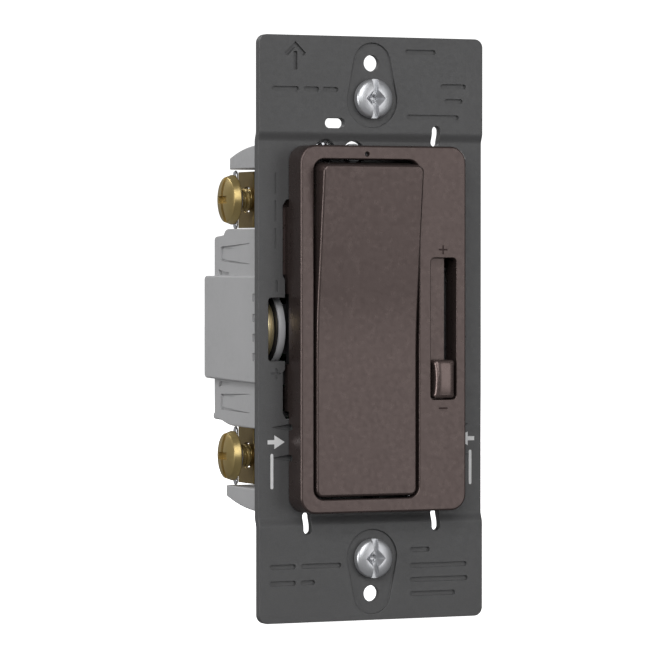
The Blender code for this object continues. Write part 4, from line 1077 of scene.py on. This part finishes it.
def make_terminal(name):
    """A slotted terminal screw, its captive washer with two ears and its brass plate."""
    side, z = terminal_place(name)
    slot, colour, tarnish = TERMINAL_FINISH.get(name, TERMINAL_BRASS)
    origin, y = (side * HEAD_X, TERMINAL_Y, z), TERMINAL_Y
    face, steps = HEAD_R - 0.42, 10
    ball = (face ** 2 + HEAD_DOME ** 2) / (2 * HEAD_DOME)
    angles = [asin(face / ball) * i / steps for i in range(steps + 1)]
    profile = [(ball * sin(a), HEAD_T + HEAD_DOME - ball * (1 - cos(a))) for a in angles]
    profile += [(HEAD_R - 0.06, 0.36), (HEAD_R, 0.24), (HEAD_R, 0.12), (HEAD_R - 0.12, 0.0), (SHANK_R, 0.0)]
    bm = aim(threaded(profile, SHANK_R, SHANK_TIP, SHANK_PITCH, 0.3, 56, 10), (side, 0, 0), origin)
    cross = (side * (HEAD_X + 1.15), side * (HEAD_X + 4))
    bm = cut(bm, box(cross, (y - 0.55, y + 0.55), (z - 6, z + 6)),
             box(cross, (y - 1.95, y + 1.95), (z - 0.68, z + 0.68)))
    brass = metal(f"terminal_{name}_metal", colour, 0.34, tarnish, origin, "X", fill=0.25)
    make(f"terminal_head_{name}", eased(bm, 0.05, 34, 2), f"screw_{name}", brass,
         [f"terminal_screw_{name}"])

    hole = circle(y, z, SHANK_R + GAP)
    ear, reach, disc = 0.8, 5.4, 3.2
    lean = degrees(asin(ear / disc))
    outline = (arc(y, z, disc, -90 + lean, 90 - lean, 24) + arc(y, z + reach - ear, ear, 0, 180, 8)
               + arc(y, z, disc, 90 + lean, 270 - lean, 24) + arc(y, z - reach + ear, ear, 180, 360, 8))
    washer = plate("YZ", [outline, hole], sorted((side * (HEAD_X - 0.32), side * (HEAD_X - 0.75))), 0.12)
    make(f"captive_washer_{name}", washer, f"washer_{name}", WASHER_METAL,
         [f"terminal_washer_{name}"])

    bulge, front, rear, half, thick = 3.9, 13.45, 20.6, TERMINAL_HALF + 0.2, 0.8
    swing = degrees(acos((y - front) / bulge))
    outline = ([(rear, z - half), (rear, z + half), (front, z + half)]
               + arc(y, z, bulge, 180 - swing, 180 + swing, 20) + [(front, z - half)])
    x = sorted((side * TERMINAL_X, side * (TERMINAL_X - thick)))
    edge = z - copysign(half, z)
    leg = sorted((edge, edge + copysign(thick, z)))
    leg = soft_box((side * (TERMINAL_X - thick / 2), side * 10.2), (front, 15.6), leg, 0.06, 2)
    sheet = join(plate("YZ", [outline, hole], x, 0.1), leg)
    make(f"terminal_sheet_{name}", sheet, ROOT, BRASS, [f"terminal_plate_{name}"])


# --- small parts ----------

def make_small_parts():
    """Heat sink rivet, light pipe, indicator lamp and the two housing screws."""
    rivet = [(0, 0.5), (1.6, 0.47), (2.3, 0.36), (2.6, 0.14), (2.6, 0), (1.6, 0), (1.6, -3.6), (2.4, -3.6),
             (2.4, -4.1), (2.2, -4.2), (0, -4.2)]
    make("heat_sink_rivet", aim(turned(rivet, 48), (0, -1, 0), (0, FRAME_BASE, -28.5)), ROOT, ZINC,
         ["triac_rivet"])
    lens = join(rod((LENS_X, 0, LENS_BASE_Z), "Y", 1.75, (STRAP_FRONT, SEAT - GAP), 48, 0.15),
                rod((LENS_X, 0, LENS_Z), "Y", 0.7, (-5.6, 1.9), 32, 0.1))
    make("light_pipe", lens, ROOT, CLEAR, ["indicator_lens"])
    lamp = [(0, 9.0), (0.35, 8.9), (0.65, 8.65), (0.88, 8.25), (0.95, 7.8), (0.95, 3.5), (0.5, 3.5),
            (0.5, 0), (0, 0)]
    make("indicator_bulb", aim(turned(lamp, 32), (0, -1, 0), (LENS_X, 11.7, 28.0)), ROOT,
         CLEAR, ["indicator_lamp"])
    head = [(0, 1.0), (0.6, 0.95), (1.1, 0.82), (1.45, 0.58), (1.6, 0.3), (1.6, 0.08), (1.52, 0), (0.9, 0)]
    for name, (x, z) in zip(("upper", "lower"), HOUSING_SCREWS):
        bm = aim(threaded(head, 0.9, 7.5, 0.6, 0.18, 32), (0, -1, 0), (x, SEAT - GAP, z))
        bm = eased(cut(bm, box((x - 0.25, x + 0.25), (-1.5, 0.05), (z - 2, z + 2))), 0.03, 34, 2)
        steel = metal(f"housing_zinc_{name}", (0.66, 0.67, 0.69), 0.24, (0.5, 0.5, 0.52), (x, 0, z), "Y")
        make(f"housing_fixing_{name}", bm, ROOT, steel, [f"housing_screw_{name}"])


def make_inner_parts():
    """Choke, capacitor and surge disc, which sit inside the housing."""
    back, turns, per_turn, coil = 13.5, 13, 28, []
    for layer in range(4):
        radius = 4.4 + 0.8 * layer
        for i in range(turns * per_turn + 1):
            angle, share = 2 * pi * i / per_turn, i / (turns * per_turn)
            rise = share if layer % 2 == 0 else 1 - share
            coil.append((radius * cos(angle), radius * sin(angle), 2.2 + rise * 7.0))
    drum = [(0, 11.4), (7.3, 11.4), (7.6, 11.1), (7.6, 10.1), (7.4, 9.9), (3.5, 9.9), (3.5, 1.5), (7.4, 1.5),
            (7.6, 1.3), (7.6, 0.2), (7.4, 0), (0, 0)]
    disc = [(0, 0), (3.6, 0.0), (4.5, 0.35), (4.9, 1.0), (5.0, 1.75), (4.9, 2.5), (4.5, 3.15), (3.6, 3.5),
            (0, 3.5)]
    choke = ((0, 1, 0), (1, back, 0))
    for name, bm, slot, material, node in (
            ("choke_coil", aim(wire(coil, 0.26, 2), *choke), "copper", COPPER, "choke_winding"),
            ("choke_drum", aim(turned(drum, 72), *choke), "ferrite", FERRITE, "choke_core"),
            ("film_capacitor_case", soft_box((-15.9, -7.2), (back, back + 8.5), (-7.5, 7.5), 0.8, 4),
             "film_capacitor_case", CAPACITOR_RESIN, "film_capacitor"),
            ("surge_disc", aim(turned(disc), (1, 0, 0), (12.5, back + 5.2, 0)), "disc_coating", DISC_COATING,
             "surge_varistor")):
        make(name, bm, ROOT, material, [node])


CAD_FINISH = (
    (BRASS, ("contact_arm", "contact_cradle", "fixed_contact_upper", "fixed_contact_lower")),
    (BLACK_PLASTIC, ("slider_wiper", "slide_potentiometer", "calibration_potentiometer", "switch_deck",
                     "triac")),
    (BOARD, ("circuit_board",)),
)


def finish_cad_nodes():
    """Nodes whose CAD shape is already right take a better material."""
    for material, names in CAD_FINISH:
        for name in names:
            for slot in frame["nodes"][name].material_slots:
                slot.material = material


# --- stage ----------

LIGHTS = (                       # name, azimuth from the front, elevation, distance, size, power
    ("front_right_softbox", 27, 4, 0.9, (0.50, 0.60), 1.4),
    ("key", -24, 26, 1.1, (0.8, 0.8), 6.5),
    ("front_left_fill", -55, 5, 0.9, (0.5, 0.8), 0.5),
    ("left_strip", -80, 1, 0.9, (0.36, 0.5), 3.2),
    ("rear_left_softbox", -156, 6, 0.9, (0.6, 0.7), 0.2),
    ("rear_left_high", -143, 40, 1.0, (0.4, 0.4), 3.5),
    ("rear_right", 130, 25, 1.0, (0.5, 0.6), 4.0),
)


def make_lights():
    for name, azimuth, elevation, distance, size, power in LIGHTS:
        turn, rise = radians(azimuth), radians(elevation)
        away = Vector((sin(turn) * cos(rise), -cos(turn) * cos(rise), sin(rise)))
        light = bpy.data.lights.new(name, "AREA")
        light.shape = "RECTANGLE"
        light.size, light.size_y = size
        light.energy = power
        obj = bpy.data.objects.new(name, light)
        obj.location = away * distance
        obj.rotation_euler = (-away).to_track_quat("-Z", "Y").to_euler()
        COLLECTION.link(obj)


def make_stage():
    """A floor that only the camera sees, so that it throws no light back on the part."""
    bm = bmesh.new()
    bmesh.ops.create_grid(bm, x_segments=2, y_segments=2, size=3.0)
    bmesh.ops.translate(bm, verts=bm.verts, vec=(0, 0, CAD_BOX[0].z - 0.0002))
    floor = holder(bm, "floor")
    COLLECTION.link(floor)
    n = Nodes("pale_floor")
    n.surface(Base_Color=(0.93, 0.93, 0.93, 1.0), Roughness=0.9, Specular_IOR_Level=0.0,
              Emission_Color=(1.0, 1.0, 1.0, 1.0), Emission_Strength=1.0)
    floor.data.materials.append(n.material)
    floor.visible_diffuse = floor.visible_glossy = floor.visible_transmission = False


def make_world():
    """A dim grey room for the light, and plain white where the camera looks past the part."""
    world = bpy.data.worlds.new("studio")
    bpy.context.scene.world = world
    world.use_nodes = True
    nodes, links = world.node_tree.nodes, world.node_tree.links
    room, white = nodes["Background"], nodes.new("ShaderNodeBackground")
    for node, level, strength in ((room, (0.80, 0.80, 0.81, 1.0), 0.17), (white, (1.0, 1.0, 1.0, 1.0), 1.2)):
        node.inputs["Color"].default_value = level
        node.inputs["Strength"].default_value = strength
    mix = nodes.new("ShaderNodeMixShader")
    links.new(nodes.new("ShaderNodeLightPath").outputs["Is Camera Ray"], mix.inputs[0])
    links.new(room.outputs[0], mix.inputs[1])
    links.new(white.outputs[0], mix.inputs[2])
    links.new(mix.outputs[0], nodes["World Output"].inputs["Surface"])


def make_camera():
    camera = bpy.data.cameras.new("camera")
    camera.sensor_width = 36.0
    camera.lens = 214.56
    camera.clip_start, camera.clip_end = 0.05, 20.0
    obj = bpy.data.objects.new("camera", camera)
    obj.location = (-0.29967, -0.65408, 0.01238)
    obj.rotation_euler = [radians(a) for a in (88.993, 0.0, -24.055)]
    COLLECTION.link(obj)
    bpy.context.scene.camera = obj


bpy.context.scene.view_settings.view_transform = "Standard"
make_camera()
make_strap()
make_strap_print()
make_mounting_screws()
make_face_frame()
make_frame_marks()
make_rocker()
make_plunger()
make_slider()
make_dial()
make_housing()
for terminal_name in TERMINAL_NAMES:
    make_terminal(terminal_name)
make_small_parts()
make_inner_parts()
finish_cad_nodes()
make_stage()
make_world()
make_lights()
